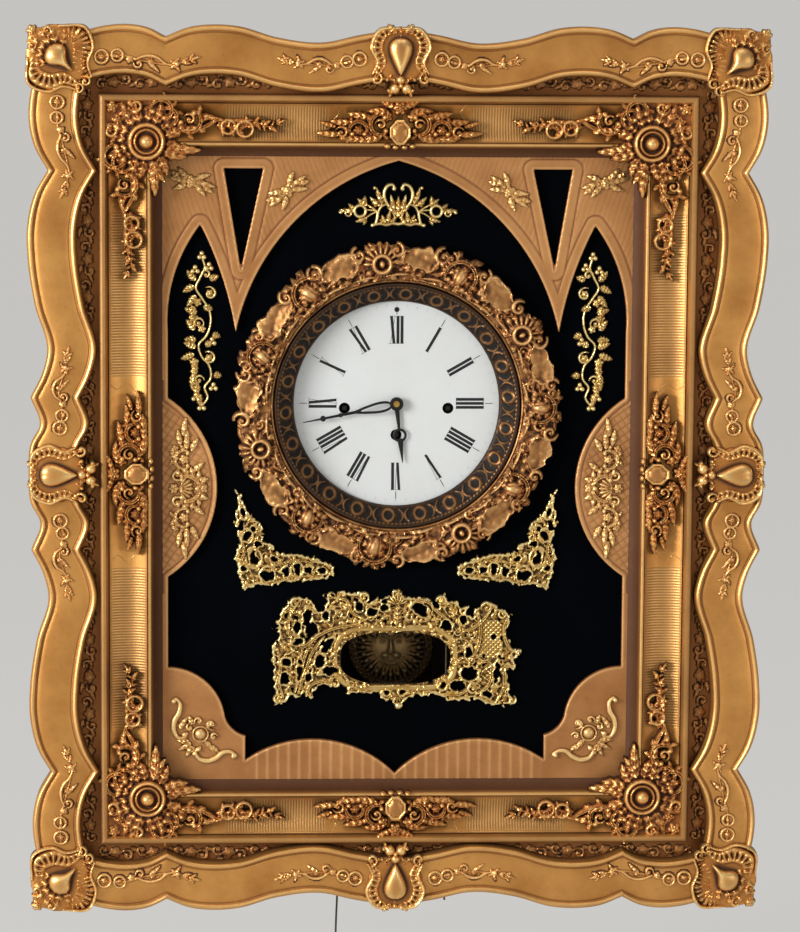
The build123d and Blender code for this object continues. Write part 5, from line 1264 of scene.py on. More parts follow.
def bezelRing():
    steps = bezel["count"] * bezel["turnSteps"]
    turn = np.arange(steps) / steps * 2 * pi
    cell = (np.arange(steps) % bezel["turnSteps"]) / bezel["turnSteps"] - 0.5
    even = (np.arange(steps) // bezel["turnSteps"]) % 2 == 0
    (r0, y0), (r1, y1) = bezel["inner"], bezel["outer"]
    length = np.hypot(r1 - r0, y1 - y0)
    nr, ny = -(y0 - y1) / length, -(r1 - r0) / length
    lip, back = ([[np.full(steps, v) for v in row] for row in bezel[key]] for key in ("lip", "back"))
    face = []  # rows of radius, depth, recess and crest
    for k in range(bezel["across"] * 2 + 1):
        s = k / (bezel["across"] * 2)
        r, y = r0 + (r1 - r0) * s, y0 + (y1 - y0) * s
        wide = 2 * pi * r / bezel["count"]
        u, v = cell * wide, (s - 0.52) * length
        e = np.hypot(u / 4.7, v / 6.7)
        oval = 1.1 * np.exp(-(((e - 0.8) / 0.24) ** 2))
        reach = np.clip((7.0 - np.abs(v)) / 1.2, 0, 1)
        arcs = np.exp(-(((np.abs(u) - 0.7 - 0.075 * v**2) / 0.85) ** 2)) * reach
        pair = arcs + 0.5 * np.exp(-((u / 1.6) ** 2 + (v / 2.4) ** 2))
        bead = 0.7 * np.exp(-(((np.abs(u) - wide / 2) / 0.9) ** 2 + (v / 1.1) ** 2))
        pearls = 0.45 + 0.55 * np.abs(np.cos(4 * pi * cell))
        rims = 1.0 * pearls * np.exp(-(((v - 7.6) / 1.0) ** 2)) + 0.6 * np.exp(-(((v + 7.8) / 0.8) ** 2))
        h = np.maximum(np.maximum(np.where(even, oval, pair), bead), rims)
        # hole paints shade in the ovals' middles and on the low ground; bright is a painted highlight on the
        # raised work
        hole = np.where(even, np.clip((0.62 - e) / 0.1, 0, 1), np.clip(1.2 - 1.6 * h, 0, 1))
        dark, bright = np.clip(0.42 - 0.7 * h + 0.6 * hole, 0, 1), np.clip(1.5 * h - 0.75, 0, 1)
        face.append((r + nr * h * 0.9, y + ny * h * 0.9, dark, bright))
    r, y, recess, crest = (np.concatenate(column) for column in zip(*lip, *face, *back))
    turn = np.tile(turn, len(r) // steps)
    index = np.arange(len(r)).reshape(-1, steps)
    after = np.roll(index, -1, 1)
    quads = np.stack([index[:-1], index[1:], after[1:], after[:-1]], -1).reshape(-1, 4)
    points = np.stack([r * np.sin(turn), y, r * np.cos(turn) + place["dialZ"]], -1)
    return points, quads, {"recess": recess, "crest": crest}


makePiece("oval_bezel", bezelRing(), bronze, ["dial_bezel"])
print("wreath and bezel ready")

# Gilt mounts on the velvet
mounts = {"step": 0.42, "copies": ((1, 1), (-1, 1))}


def castMount(rel, copies=mounts["copies"]):
    return carve(rel, onFace(place["velvet"]), 0.5, 0.3, copies, 1.4, 0.8)


def sheetMetal(rel, outline, top, grain, seed, fill=1.72):  # cast plate: wandering ribs, gaps between
    x, z = spread(rel)
    wave, fine = folds(rel, grain, seed), folds(rel, 0.5 * grain, seed + 1)
    gap = 0.6 * fine - signedGap(x, z, np.array(outline, float))
    rib = bow(wave / 0.5)
    roll = bow((gap - 1.2) / 1.4)
    merge(rel, np.s_[:, :], np.minimum(gap, 2.0 * (fill - np.abs(wave))),
          top * np.maximum(0.3 + 0.14 * fine + 0.5 * rib, 0.95 * roll))


def pierce(rel, holes, top):  # openings x, z, half width, half height, turn, each with a rolled rim
    x, z = spread(rel)
    ruffle = folds(rel, 3.4, 11)
    for hx, hz, across, tall, turn in holes:
        u, v = turned(x - hx, z - hz, turn)
        d = (np.hypot(u / across, v / tall) - 1.1) * min(across, tall) + 0.4 * ruffle
        roll = top * bow((d - 0.8) / 0.9)
        rel["h"] = np.where(rel["c"] > 0, np.maximum(rel["h"], roll), rel["h"])
        rel["c"] = np.minimum(rel["c"], d)


rel = newGrid(-0.42, 160, 41, 198, 0.4)  # crest over the dial
stroke(rel, [(3.2, 177), (6.6, 181), (9.4, 186), (9.4, 191), (7, 194.6), (4, 195.2), (2.4, 192.8)],
       (0.9, 1.2, 1.4, 1.4, 1.2), (2.2, 2.5, 2.5, 2.4))
stroke(rel, [(2.0, 175.5), (4.4, 180.2), (8, 181.8), (11.6, 180.2), (13.8, 176.4)], (1.0,), (2.1,))
stroke(rel, [(13.8, 176.6), (14.4, 172), (15.6, 168.6), (17.4, 167.4)], (1.2,), (2.2,))
stroke(rel, [(-0.4, 168.4), (4, 169), (8, 168), (12, 168.8), (16.4, 168)], (1.3,), (2.0,))
stroke(rel, [(3.2, 176), (2.4, 172), (4.4, 169)], (0.9,), (1.9,))
for end in ((21.8, 181.6), (22.4, 178), (21.6, 173)):
    stroke(rel, [(14.0, 177), ((14 + end[0]) / 2, 0.5 * (177 + end[1]) + 0.4), end], (0.9, 0.7), (1.9,))
for row in ((0.4, 173, 90, 16, 5.0), (1.0, 175, 66, 14, 4.2), (1.6, 175, 45, 11, 3.8),
            (6.8, 167, 90, 10.5, 4.2), (6.6, 167.6, 128, 8.5, 3.6), (7.0, 167.6, 52, 8.5, 3.6),
            (10.6, 181.6, 64, 12.5, 4.0), (12.0, 180.6, 34, 9.5, 3.8), (11.0, 180, 86, 9.0, 3.6),
            (21.0, 181, 28, 8.0, 4.0), (22.6, 182, 84, 5.5, 3.4), (21.0, 173, -28, 8.5, 3.8),
            (22.0, 172.4, -78, 5.0, 3.2), (29.4, 177.4, -4, 10.5, 4.2), (29.0, 178.6, 30, 6.0, 3.2),
            (12.8, 171.5, 200, 6.0, 3.0)):
    leaf(rel, *row, 2.4, 0.12, 3)
flower(rel, 15.0, 182.6, 3.0, 2.7, 5)
flower(rel, 24.6, 182.8, 2.6, 2.5, 5)
ring(rel, 25.9, 177.3, 3.8, 1.2, 2.3)
ring(rel, 33.8, 175.8, 1.9, 0.8, 2.1)
for row in ((2.9, 192.4, 1.6), (16.0, 193.0, 1.3), (25.2, 171.0, 1.8), (39.0, 176.4, 1.5),
            (17.4, 167.6, 1.5)):
    ball(rel, *row, 2.5)
makePiece("gilt_crest", castMount(rel), mountGilt, ["crest_mount"])

rel = newGrid(119, 38, 148, 152, mounts["step"])  # vines in the tall lancets
stem = [(133, 146), (131, 139), (134, 132), (137, 125), (133, 118), (128, 110), (127, 101), (130, 92),
        (135, 86), (133, 78), (128, 72), (127, 63), (131, 57), (129, 50), (133, 44)]
stroke(rel, stem, (0.95,), (1.7,))
for row in ((127.5, 121, 4.8, 60, 420), (128.0, 77, 4.8, 60, 420), (135.5, 101, 4.0, 200, -420),
            (135.0, 62, 3.6, 180, -400), (130, 134, 3.4, 0, 400)):
    curl(rel, *row, 1.0, 2.0)
for k, (lx, lz, aim, size) in enumerate(((137, 130, 40, 9), (138, 126, -20, 9), (137, 120, -60, 10),
                                         (139, 113, -85, 10), (136, 108, 10, 9), (138, 96, 60, 9),
                                         (137, 90, -10, 8), (137, 84, 30, 9), (138, 80, -30, 10),
                                         (137, 73, -75, 11), (139, 66, -95, 11), (136, 60, -80, 10),
                                         (136, 53, -110, 9), (128, 131, 170, 7), (126, 93, 190, 6),
                                         (125, 66, 200, 6), (132, 112, 190, 7), (131, 86, 170, 6))):
    leaf(rel, lx, lz, aim, size, 5.6, 2.2, 0.15 * (-1) ** k, 4)
for fx, fz, r in ((127.5, 121, 3.0), (128, 77, 3.0), (138.5, 104, 3.6), (133, 97, 3.0), (139.5, 89, 3.0),
                  (138, 74, 3.4), (136, 115, 3.2)):
    flower(rel, fx, fz, r, 2.6, 5, 10 * fx)
for tx, tz in ((133, 146.5), (133, 43.5), (128, 139), (137.5, 137), (125, 57), (137, 50), (126, 88)):
    for aim in (90, 210, 330):
        ball(rel, *around(tx, tz, 1.8, aim), 1.8, 2.1)
makePiece("gilt_vines", castMount(rel), mountGilt, ["vine_mounts"])

bracket = {"seed": 21, "count": 170, "edge": 111.4, "grain": 5.5,
           "outline": [(110.5, -14), (106, -17), (103.5, -24), (100, -31), (93, -36), (91.5, -43), (91, -48),
                       (86, -51), (82.5, -55), (77, -58), (71, -57.5), (63, -59), (55, -61), (49, -63),
                       (43.5, -66), (42, -70), (47, -75), (55, -76), (66, -77), (77, -77), (86, -81),
                       (95, -79), (104, -83), (108, -74), (110, -58), (107.5, -49), (110.5, -34), (108, -24)],
           "holes": [(102.2, -45.3, 2.1, 3.2, 30), (97.3, -60.8, 2.3, 4.7, -15), (88, -72.6, 3.9, 2.7, 10),
                     (75.2, -70, 1.9, 2.5, 0), (67.7, -68.6, 1.6, 4.2, -5), (60.4, -68.4, 2.4, 2.0, 0),
                     (50.4, -69, 2.2, 1.6, 0), (104.8, -67.6, 1.9, 1.6, 0), (106.4, -38.2, 1.6, 2.8, 0),
                     (97.4, -40.4, 1.7, 1.8, 0), (104.6, -29.6, 1.6, 2.4, -15), (83.4, -61.4, 2.2, 1.6, 30),
                     (94.4, -50.4, 1.7, 1.5, 0)]}
rel = newGrid(38, -90, 114, -10, mounts["step"])  # brackets under the wreath, with the square corner outwards
plateShape = np.array(bracket["outline"], float)
sheetMetal(rel, bracket["outline"], 2.5, bracket["grain"], bracket["seed"], 2.3)
scatter(rel, lambda x, z: onPlate(x, z, 1.8), (42, -83, 111, -14), bracket["count"], 3.0, 2.7,
        bracket["seed"])
for path in ([(104, -80), (107, -66), (104, -56), (107, -44), (106, -32), (108, -20)],
             [(104, -80), (92, -77.5), (82, -77), (70, -73), (58, -73), (45, -71)],
             [(93, -66), (97, -54), (95, -45), (97, -37)], [(92, -66), (80, -65), (70, -62), (58, -64)]):
    stroke(rel, path, (1.0, 1.5, 1.5, 1.0), (2.4, 2.9, 2.9, 2.4), "reed")
for cx, cz, r, start, sweep in ((97.3, -60.8, 6.6, 60, 300), (88, -72.6, 6.4, 200, -300),
                                (67.7, -68.6, 5.4, 90, 300), (102.2, -45.3, 5.2, 250, -300)):
    arc = np.radians(start + sweep * np.linspace(0, 1, 20))
    stroke(rel, np.c_[cx + 0.8 * r * np.cos(arc), cz + r * np.sin(arc)], (0.9, 1.4, 0.9), (2.6, 3.1, 2.6))
pierce(rel, bracket["holes"], 2.7)
x, z = spread(rel)
rel["c"] = np.minimum(np.minimum(rel["c"], np.hypot(x, z - dialUp) - 114.5), bracket["edge"] - x)
makePiece("gilt_brackets", castMount(rel), mountGilt, ["corner_mounts"])

# Cartouche round the pendulum window, its two sides unlike as in rococo work
wing = {"seed": 5, "count": 330, "sight": (38.2, 18.4), "grain": 6.0,
        "outline": [(1, -82.5), (5, -83.5), (5.6, -88.5), (12, -87.7), (22, -88.2), (26.5, -92), (32, -86.5),
                    (36.7, -90.5), (42.3, -90), (45.7, -94.5), (50.3, -94.5), (48.5, -100), (53, -101),
                    (56.5, -92.2), (62.7, -90.5), (68.4, -93.3), (74, -96.7), (79, -99), (79, -104.6),
                    (76.3, -110.3), (77.4, -117), (80.8, -124), (86, -125.5), (85.5, -129.5), (82, -131),
                    (82.5, -140), (78, -136), (78, -145.4), (78.6, -150), (78, -154.4), (84, -159.5),
                    (83, -162), (77, -164), (69.5, -163.5), (63.9, -163), (57, -160), (49, -159),
                    (42.3, -160), (36.7, -161), (32, -156.7), (26.5, -155.6), (19.7, -155.6), (13, -156),
                    (7.3, -160), (6.2, -164), (2.7, -166), (-0.7, -163.5), (-1.8, -160), (-8.6, -159),
                    (-12, -154.5), (-18.8, -155.6), (-23.3, -154.5), (-34, -155.6), (-32.4, -150),
                    (-35.8, -143), (-38, -147.5), (-41.4, -151), (-47, -148.8), (-52.7, -150), (-56, -154.4),
                    (-55, -158), (-59.5, -159), (-62.4, -154.4), (-65.2, -157.5), (-72, -156),
                    (-75.4, -161.2), (-81, -162.4), (-84.4, -159), (-81.5, -156.5), (-83.3, -150),
                    (-84, -143), (-84.4, -134), (-84.4, -127), (-83.9, -120.5), (-81, -116), (-81, -110.3),
                    (-85, -110), (-81.6, -107), (-79.9, -100), (-76.5, -93.3), (-73, -90.5), (-66.3, -86.5),
                    (-61.8, -88.2), (-55, -91.6), (-56, -97), (-50, -97), (-47.6, -91), (-49.9, -86.5),
                    (-44.8, -84), (-35.8, -83.2), (-27.8, -84.6), (-19.9, -83.6), (-18.2, -88.8), (-20, -92),
                    (-14.3, -91), (-7.5, -87.7), (-3, -86.5), (-1.8, -82.5)],
        "holes": [(-60.4, -101.2, 2.4, 4.8, -10), (-67.7, -109.2, 2.1, 4.0, 0), (-57.8, -109.7, 3.6, 4.1, 0),
                  (-67.2, -118.8, 2.8, 1.8, 0), (-48, -100.1, 1.8, 2.8, 0), (-25.2, -94.2, 2.0, 2.5, 0),
                  (-16.5, -98.2, 2.8, 2.4, 0), (-7.5, -95, 2.2, 2.0, 0), (-47, -121.6, 2.0, 5.2, -35),
                  (-51.6, -131.8, 2.6, 4.4, 0), (-45, -139, 5.0, 2.2, 0), (-75.4, -132.9, 3.0, 2.0, 0),
                  (-65.8, -138.6, 1.5, 4.8, -6), (-59.4, -142.6, 1.6, 3.6, -10), (-76, -144.6, 2.8, 3.6, 0),
                  (16.9, -96.5, 5.4, 3.4, -35), (27.6, -93.4, 1.8, 1.8, 0), (35.4, -107.4, 3.4, 2.6, -45),
                  (47, -103.6, 2.2, 2.4, 0), (50.8, -125.6, 1.8, 3.4, 0), (51.4, -141.4, 5.8, 4.0, 0),
                  (42.4, -150, 3.4, 3.2, 0), (33.4, -149.4, 2.2, 1.6, 40), (70.1, -139.7, 1.5, 6.0, -8),
                  (63.3, -155.6, 2.4, 2.2, 0), (-5.8, -154.4, 1.8, 1.2, 0), (5.6, -154.4, 1.8, 1.2, 0)],
        "ribs": [[(-66, -90), (-73, -102), (-72.5, -114), (-64, -122), (-54, -115), (-44, -110),
                  (-30, -107.5), (-14, -107)],
                 [(-57, -118), (-62, -128), (-65, -140), (-69, -154)],
                 [(-49, -115), (-57, -126), (-62, -140), (-67, -155)],
                 [(-61, -156.5), (-58.5, -149.5), (-52, -146.4), (-46, -146), (-40.5, -149)],
                 [(-81, -124), (-79, -136), (-80, -148), (-77, -157)],
                 [(-43, -88), (-34, -90), (-30, -98), (-22, -103)],
                 [(8, -101), (12, -92), (22, -91), (29, -98), (34, -102), (40, -108)],
                 [(78, -101), (75, -109), (76, -118), (80, -124.5), (85, -127)],
                 [(57, -98), (58.5, -110), (57, -122), (52, -132)],
                 [(74, -132), (75.5, -142), (75, -151), (71, -160)],
                 [(66, -134), (66.5, -144), (64, -150), (56, -156)],
                 [(44, -112), (52, -110), (60, -104), (66, -96)],
                 [(30, -155), (38, -156), (46, -155), (52, -150)]]}
rel = newGrid(-88, -170, 88, -78, mounts["step"])
plateShape = np.array(wing["outline"], float)


def sightGap(x, z):  # rounded sight that the cartouche leaves open
    w, h = wing["sight"]
    return ((np.abs(x) / w) ** 2.6 + (np.abs(z - cloth["windowZ"]) / h) ** 2.6) ** (1 / 2.6) - 1


sheetMetal(rel, wing["outline"], 2.5, wing["grain"], wing["seed"])
scatter(rel, lambda x, z: sightGap(x, z) > 0.08 and onPlate(x, z, 1.6), (-86, -166, 87, -84), wing["count"],
        3.2, 2.7, wing["seed"])
part, x, z = window(rel, (58, -130), (74, -104))  # net on the right-hand panel
net = np.maximum(np.cos(pi * (x + z) / 3.4) ** 8, np.cos(pi * (x - z) / 3.4) ** 8)
rel["h"][part] = np.where(rel["c"][part] > 0, 1.4 + 0.7 * net, rel["h"][part])
for path in wing["ribs"]:
    stroke(rel, path, (1.1, 1.7, 1.8, 1.7, 1.1), (2.5, 3.1, 3.2, 3.1, 2.5), "reed")
for side in (-1, 1):
    rim = [(0, -110), (side * 16, -109.5), (side * 30, -111), (side * 38.5, -117), (side * 41.5, -130.5),
           (side * 38.5, -144), (side * 30, -150), (side * 16, -151.5), (0, -151)]
    stroke(rel, rim, (2.4, 2.8, 2.4, 2.8, 2.2, 2.8, 2.4, 2.8, 2.4),
           (2.2, 2.8, 2.2, 2.8, 2.2, 2.8, 2.2, 2.8, 2.2))
    for k in range(11):  # leaves that wrap the rim
        share = pi * (k + 0.5) / 11
        aim = 90 - side * np.degrees(share) + 50 * (-1) ** k
        lx, lz = 41 * sin(share) * side, cloth["windowZ"] + 20.8 * cos(share)
        leaf(rel, lx, lz, aim, 9, 5.0, 2.9, 0.25 * (-1) ** k, 3)
for row in ((-80.4, -159, 3.4, 90, 420), (32, -90.8, 4.4, 200, -430), (54, -152, 5.2, 20, 420),
            (81, -160, 3.0, 60, -400), (85, -127, 2.4, 0, 400), (-41, -148.4, 2.6, 90, -400),
            (-22, -87.6, 3.8, 300, 420), (-69, -92, 4.2, 20, 420), (63, -95, 4.2, 200, -420),
            (74, -100, 3.4, 100, 420), (-30, -152.6, 3.0, 0, 400)):
    curl(rel, *row, 1.2, 3.0)
shell(rel, 1.5, -93.5, 90, 8.5, 150, 7, 3.2)
leaf(rel, 1.5, -106, 90, 13, 8.0, 3.2, 0.0, 4)
flower(rel, 1.5, -85.4, 3.4, 3.2, 5)
shell(rel, 1.5, -155, 270, 7.0, 150, 7, 3.0)
ball(rel, 2.4, -163.6, 2.8, 3.3)
pierce(rel, wing["holes"], 2.8)
x, z = spread(rel)
rel["c"] = np.minimum(np.minimum(rel["c"], sightGap(x, z) * 18), 87.0 - np.abs(x))
makePiece("gilt_window_cartouche", castMount(rel, ((1, 1),)), mountGilt, ["window_mount"])

rel = newGrid(60, -205, 158, 212, 0.55)  # sprays on the fret
for fx, fz, along in ((75, 191, -45), (140, 197, 8)):  # a rose with leaves along a slant
    a = radians(along)
    for u, v, aim, long in ((3, 0, 0, 15), (3, 2, 34, 11), (3, -2, -34, 11), (-3, 0, 180, 15),
                            (-3, 2, 146, 11), (-3, -2, 214, 11), (8, 2, 20, 9), (-8, -2, 200, 9)):
        lx, lz = fx + u * cos(a) - v * sin(a), fz + u * sin(a) + v * cos(a)
        leaf(rel, lx, lz, aim + along, long * 0.92, 5.0, 2.2, 0.12, 3)
    flower(rel, fx, fz, 5.0, 3.0, 5, along, 3)
    flower(rel, fx + 5.5 * cos(a + 0.5), fz + 5.5 * sin(a + 0.5), 3.2, 2.6, 5)
ball(rel, 133.9, -182.3, 4.3, 3.9)  # lower corners: a boss between two S scrolls
ring(rel, 133.9, -182.3, 5.2, 0.9, 2.2)
for path in ([(153.3, -159.6), (151, -157.7), (148.2, -160.4), (148.4, -166.8), (151.6, -173),
              (152, -180), (148.7, -185), (144.4, -184.6), (143, -181.8)],
             [(133.9, -191.5), (137.2, -195), (135, -199.4), (128.8, -201.2), (123, -199),
              (118, -195.2), (113, -195), (109.6, -197.8), (111.6, -199.4)]):
    stroke(rel, path, (1.1, 1.7, 2.2, 2.3, 2.1, 1.6, 1.1), (2.0, 2.5, 2.7, 2.8, 2.6, 2.4, 2.0))
for end in ((152.2, -159.4), (144.8, -182.8), (135.2, -193.0), (111.2, -198.0)):
    ball(rel, *end, 2.1, 3.0)
for row in ((135.2, -173.2, 3.0, 320, 390), (126.4, -175.8, 3.8, 240, 400), (124.8, -184.2, 2.8, 180, -390),
            (141.2, -177.6, 2.6, 90, -380)):
    curl(rel, *row, 1.1, 2.4)
for row in ((148, -179, 112, 10), (140, -188, 318, 11), (140, -190, 285, 10), (141.5, -187, 350, 9),
            (139, -191, 255, 8), (131, -187, 222, 10), (128, -191, 200, 8), (139, -176, 60, 7),
            (129, -178, 120, 6)):
    leaf(rel, *row, 4.8, 2.2, 0.2, 3)
for side in (-1, 1):  # cartouche on each half disc
    rocaille(rel, 143, -12, 8.6, 180, -120 * side, 1.8, 2.6)
    rocaille(rel, 145, -12 + 20 * side, 6.2, 180 - 60 * side, -240 * side, 1.5, 2.5)
    curl(rel, 150, -12 + 9 * side, 4.0, 180, 420 * side, 1.2, 2.4)
    flower(rel, 145, -12 + 20 * side, 3.8, 3.0, 5)
    flower(rel, 151, -12 + 27 * side, 3.2, 2.8, 5)
    for lx, dz, aim, long in ((143, 27, 84, 13), (147, 30, 70, 11), (140, 26, 110, 10), (145, 36, 88, 13),
                              (149, 20, 40, 8), (138, 12, 130, 9), (136, 5, 160, 8)):
        leaf(rel, lx, -12 + dz * side, aim * side, long, 5.2, 2.2, 0.15 * side, 3)
shell(rel, 149, -12, 180, 11, 130, 7, 2.6)
flower(rel, 132.5, -12, 4.2, 3.0, 5)
flower(rel, 152, -12, 4.0, 3.2, 6)
makePiece("fret_sprays", carve(rel, onFace(place["fret"] + 0.4), 0.3, 0.9, mounts["copies"], 1.4, 0.8),
          sprayGilt)
print("mounts ready")


# Dial figures, hands and bob
figures = {"foot": 41.0, "head": 60.0, "thick": 0.12,
           "words": ["XII", "I", "II", "III", "IIII", "V", "VI", "VII", "VIII", "IX", "X", "XI"],
           "wide": {"I": 2.75, "V": 4.4, "X": 4.4}, "stem": 1.95, "hair": 0.22}


def figureShapes(letter, at):  # flat four-sided shapes, across and up, feet at 0
    w, s, t = figures["wide"][letter], figures["stem"] / 2, figures["hair"]
    up = figures["head"] - figures["foot"]
    mid = at + w / 2

    def bar(a, b, half):
        return [(mid + a - half, 0), (mid + a + half, 0), (mid + b + half, up), (mid + b - half, up)]

    def serif(a, y):
        return [(mid + a - 1.25, y), (mid + a + 1.25, y), (mid + a + 1.25, y + t), (mid + a - 1.25, y + t)]
    if letter == "I":
        return [bar(0, 0, s), serif(0, 0), serif(0, up - t)]
    if letter == "V":
        return [bar(0.3, -0.9, 0.9 * s), bar(0.8, 1.7, t / 2), serif(-0.9, up - t), serif(1.5, up - t)]
    return [bar(0.9, -0.9, 0.95 * s), bar(-1.6, 1.6, t / 2), serif(0.9, 0), serif(-1.5, 0),
            serif(-0.9, up - t), serif(1.5, up - t)]


def dialMarks(minutes=False):
    points, quads = [], []

    def add(shape, turn, foot):
        base = len(points)
        a = radians(turn)
        for lift in (0.0, figures["thick"]):
            for u, v in shape:
                r = foot + v
                across, up = u * cos(a) + r * sin(a), r * cos(a) - u * sin(a)
                points.append((across, place["dial"] - lift, up + place["dialZ"]))
        quads.append([base + 4, base + 5, base + 6, base + 7])
        for k in range(4):
            quads.append([base + k, base + (k + 1) % 4, base + 4 + (k + 1) % 4, base + 4 + k])
    if minutes:
        for minute in range(60):
            add([(-0.3, 0), (0.3, 0), (0.3, 2.2), (-0.3, 2.2)], 6 * minute, 66.0)
        return np.array(points), np.array(quads), {}
    for hour, word in enumerate(figures["words"]):
        total, at = sum(figures["wide"][c] for c in word), 0.0
        for letter in word:
            for shape in figureShapes(letter, at - total / 2):
                add(shape, 30 * hour, figures["foot"])
            at += figures["wide"][letter]
        add([(-0.22, 0), (0.22, 0), (0.22, 5.0), (-0.22, 5.0)], 30 * hour, 61.0)
    for k in range(0, 24, 2):  # round spot over the twelve
        rim = [(1.75 * cos(pi * n / 12), 1.75 * sin(pi * n / 12)) for n in (k, k + 1, k + 2)]
        add([(0, 0)] + rim, 0, 64.4)
    return np.array(points), np.array(quads), {}


makePiece("dial_figures", dialMarks(), ink, body="case")
makePiece("dial_minutes", dialMarks(True), paleInk, body="case")

hands = {"minute": 258.6, "hour": 173.55, "thick": 0.8, "step": 0.25}


def rod(x, z, a, b, ra, rb):
    ex, ez = b[0] - a[0], b[1] - a[1]
    s = np.clip(((x - a[0]) * ex + (z - a[1]) * ez) / (ex * ex + ez * ez), 0, 1)
    return ra + (rb - ra) * s - np.hypot(x - a[0] - s * ex, z - a[1] - s * ez)


def handMesh(cover, span, turn, back):
    rel = newGrid(-span[0], -span[0], span[0], span[1], hands["step"])
    x, z = spread(rel)
    rel["c"] = cover(x, z)
    rel["h"] = 0.28 * np.clip(rel["c"] / 0.5, 0, 1) ** 0.6
    a = radians(turn)

    def lay(u, v, h):
        return np.stack([u * cos(a) + v * sin(a), back - h, v * cos(a) - u * sin(a) + place["dialZ"]], -1)
    p, q, _ = carve(rel, lay, hands["thick"] - 0.3, 0.0, back=True)
    return p, q, {}


def minuteCover(x, z):
    hub = np.minimum(4.7 - np.hypot(x, z), np.hypot(x, z) - 2.2)
    t = np.clip((z - 3.5) / 26.0, 0, 1)
    loop = np.where((z > 3) & (z < 30.5), 0.85 - np.abs(np.abs(x) - 3.0 * np.sin(pi * t**0.55) ** 0.9), -1.0)
    stem = np.maximum(rod(x, z, (0, 28), (0, 51), 1.05, 0.8), rod(x, z, (0, 50), (0, 65.0), 0.8, 0.25))
    bumps = np.maximum(1.5 - np.hypot(x, z - 39), 2.0 - np.hypot(x, z - 51.2))
    return np.maximum(np.maximum(hub, loop), np.maximum(stem, bumps))


def hourCover(x, z):
    hub = np.minimum(4.2 - np.hypot(x, z), np.hypot(x, z) - 2.35)
    moon = 0.85 - np.abs(np.hypot(x, z - 22) - 3.9)
    stem = np.maximum(rod(x, z, (0, 3), (0, 18), 1.7, 0.9), rod(x, z, (0, 26), (0, 40.8), 1.9, 0.3))
    return np.maximum(np.maximum(hub, moon), np.maximum(stem, 1.5 - np.hypot(x, z - 28.5)))


minuteForm = handMesh(minuteCover, (8, 67), hands["minute"], place["minute"])
makePiece("pierced_minute_hand", minuteForm, black, ["minute_hand"], "minute_work")
hourForm = handMesh(hourCover, (8, 43), hands["hour"], place["hour"])
makePiece("moon_hour_hand", hourForm, black, ["hour_hand"], "hour_work")

bob = {"z": -401.5, "back": -35.5, "step": 0.5, "rays": 40, "mask": 1.32}
rel = newGrid(-31, -31, 31, 31, bob["step"])
x, z = spread(rel)
d, a = np.hypot(x, z), np.arctan2(z, x)
rel["c"] = 29.3 + 0.5 * np.cos(bob["rays"] * a) - d
# the mask is tinted far lighter than the dark rays: painted light on the mask, painted shade on the rays
rel["tint"] = np.clip((19.5 - d) / 3, 0, 1)
rel["h"] = 2.2 + 0.8 * np.cos(bob["rays"] * a) * np.clip((d - 12) / 3, 0, 1) * np.clip((25 - d) / 1.5, 0, 1)
for k in range(36):
    ring(rel, *around(0, 0, 26.6, 10 * k), 1.5, 0.55, 3.2)
for k in range(24):
    aim = 15 * k
    ball(rel, 20.0 * cos(radians(aim)), 19.6 * sin(radians(aim)), 2.3, 4.0, 0.8, aim)


def onMask(x, z):
    return bob["mask"] * x, bob["mask"] * z


size = bob["mask"]
ball(rel, *onMask(0, 0), 12.6 * size, 3.8, 1.06)
for side in (-1, 1):  # mask: eyes, brows, cheeks, ears and mane
    ball(rel, *onMask(side * 4.2, 3.4), 1.9 * size, 5.0, 0.7)
    stroke(rel, [onMask(side * 1.2, 5.0), onMask(side * 4.0, 7.2), onMask(side * 7.4, 5.4)], (1.2, 1.6, 0.9),
           (4.9, 5.6, 4.6))
    ball(rel, *onMask(side * 3.0, -4.2), 3.2 * size, 5.1, 0.8)
    ball(rel, *onMask(side * 9.2, 8.6), 2.6 * size, 4.8)
    for k in range(5):
        aim = 90 - side * (40 + 28 * k)
        leaf(rel, *onMask(*around(0, 0, 8.6, aim)), aim, 6.0 * size, 3.0 * size, 4.5, 0.1 * side, 2)
stroke(rel, [onMask(0, 5.5), onMask(0, 0), onMask(0, -2.0)], (1.5, 2.2, 3.0), (4.9, 5.6, 5.8))
stroke(rel, [onMask(-3.6, -8.0), onMask(0, -8.8), onMask(3.6, -8.0)], (1.0, 1.6, 1.0), (4.4, 5.1, 4.4))


def layBob(u, v, h):
    return np.stack([u, bob["back"] - h, v + bob["z"]], -1)


bobForm = carve(rel, layBob, 0.2, 0.0, reach=1.6, depth=1.0, back=True)
makePiece("sunburst_bob", bobForm, bobGilt, ["pendulum_bob"], "pendulum")
print("dial, hands and bob ready")

# Floor, light and world
stage = {"floor": -0.72, "tone": (214, 213, 211), "grey": (214, 213, 210), "glow": 0.66, "flat": 5.0,
         "side": 42.0, "rise": 7.5, "bright": (0.8, 0.784, 0.76), "dim": (0.056, 0.053, 0.051),
         "leftwards": -0.9, "upwards": 0.4, "aim": (0, -0.1, -0.27),
         "lamps": [("key", (-2.2, -1.6, 0.25), 1.0, 68.0), ("fill", (1.9, -2.0, 0.0), 1.4, 9.0),
                   ("top", (0.2, -0.9, 2.0), 1.2, 6.0)]}


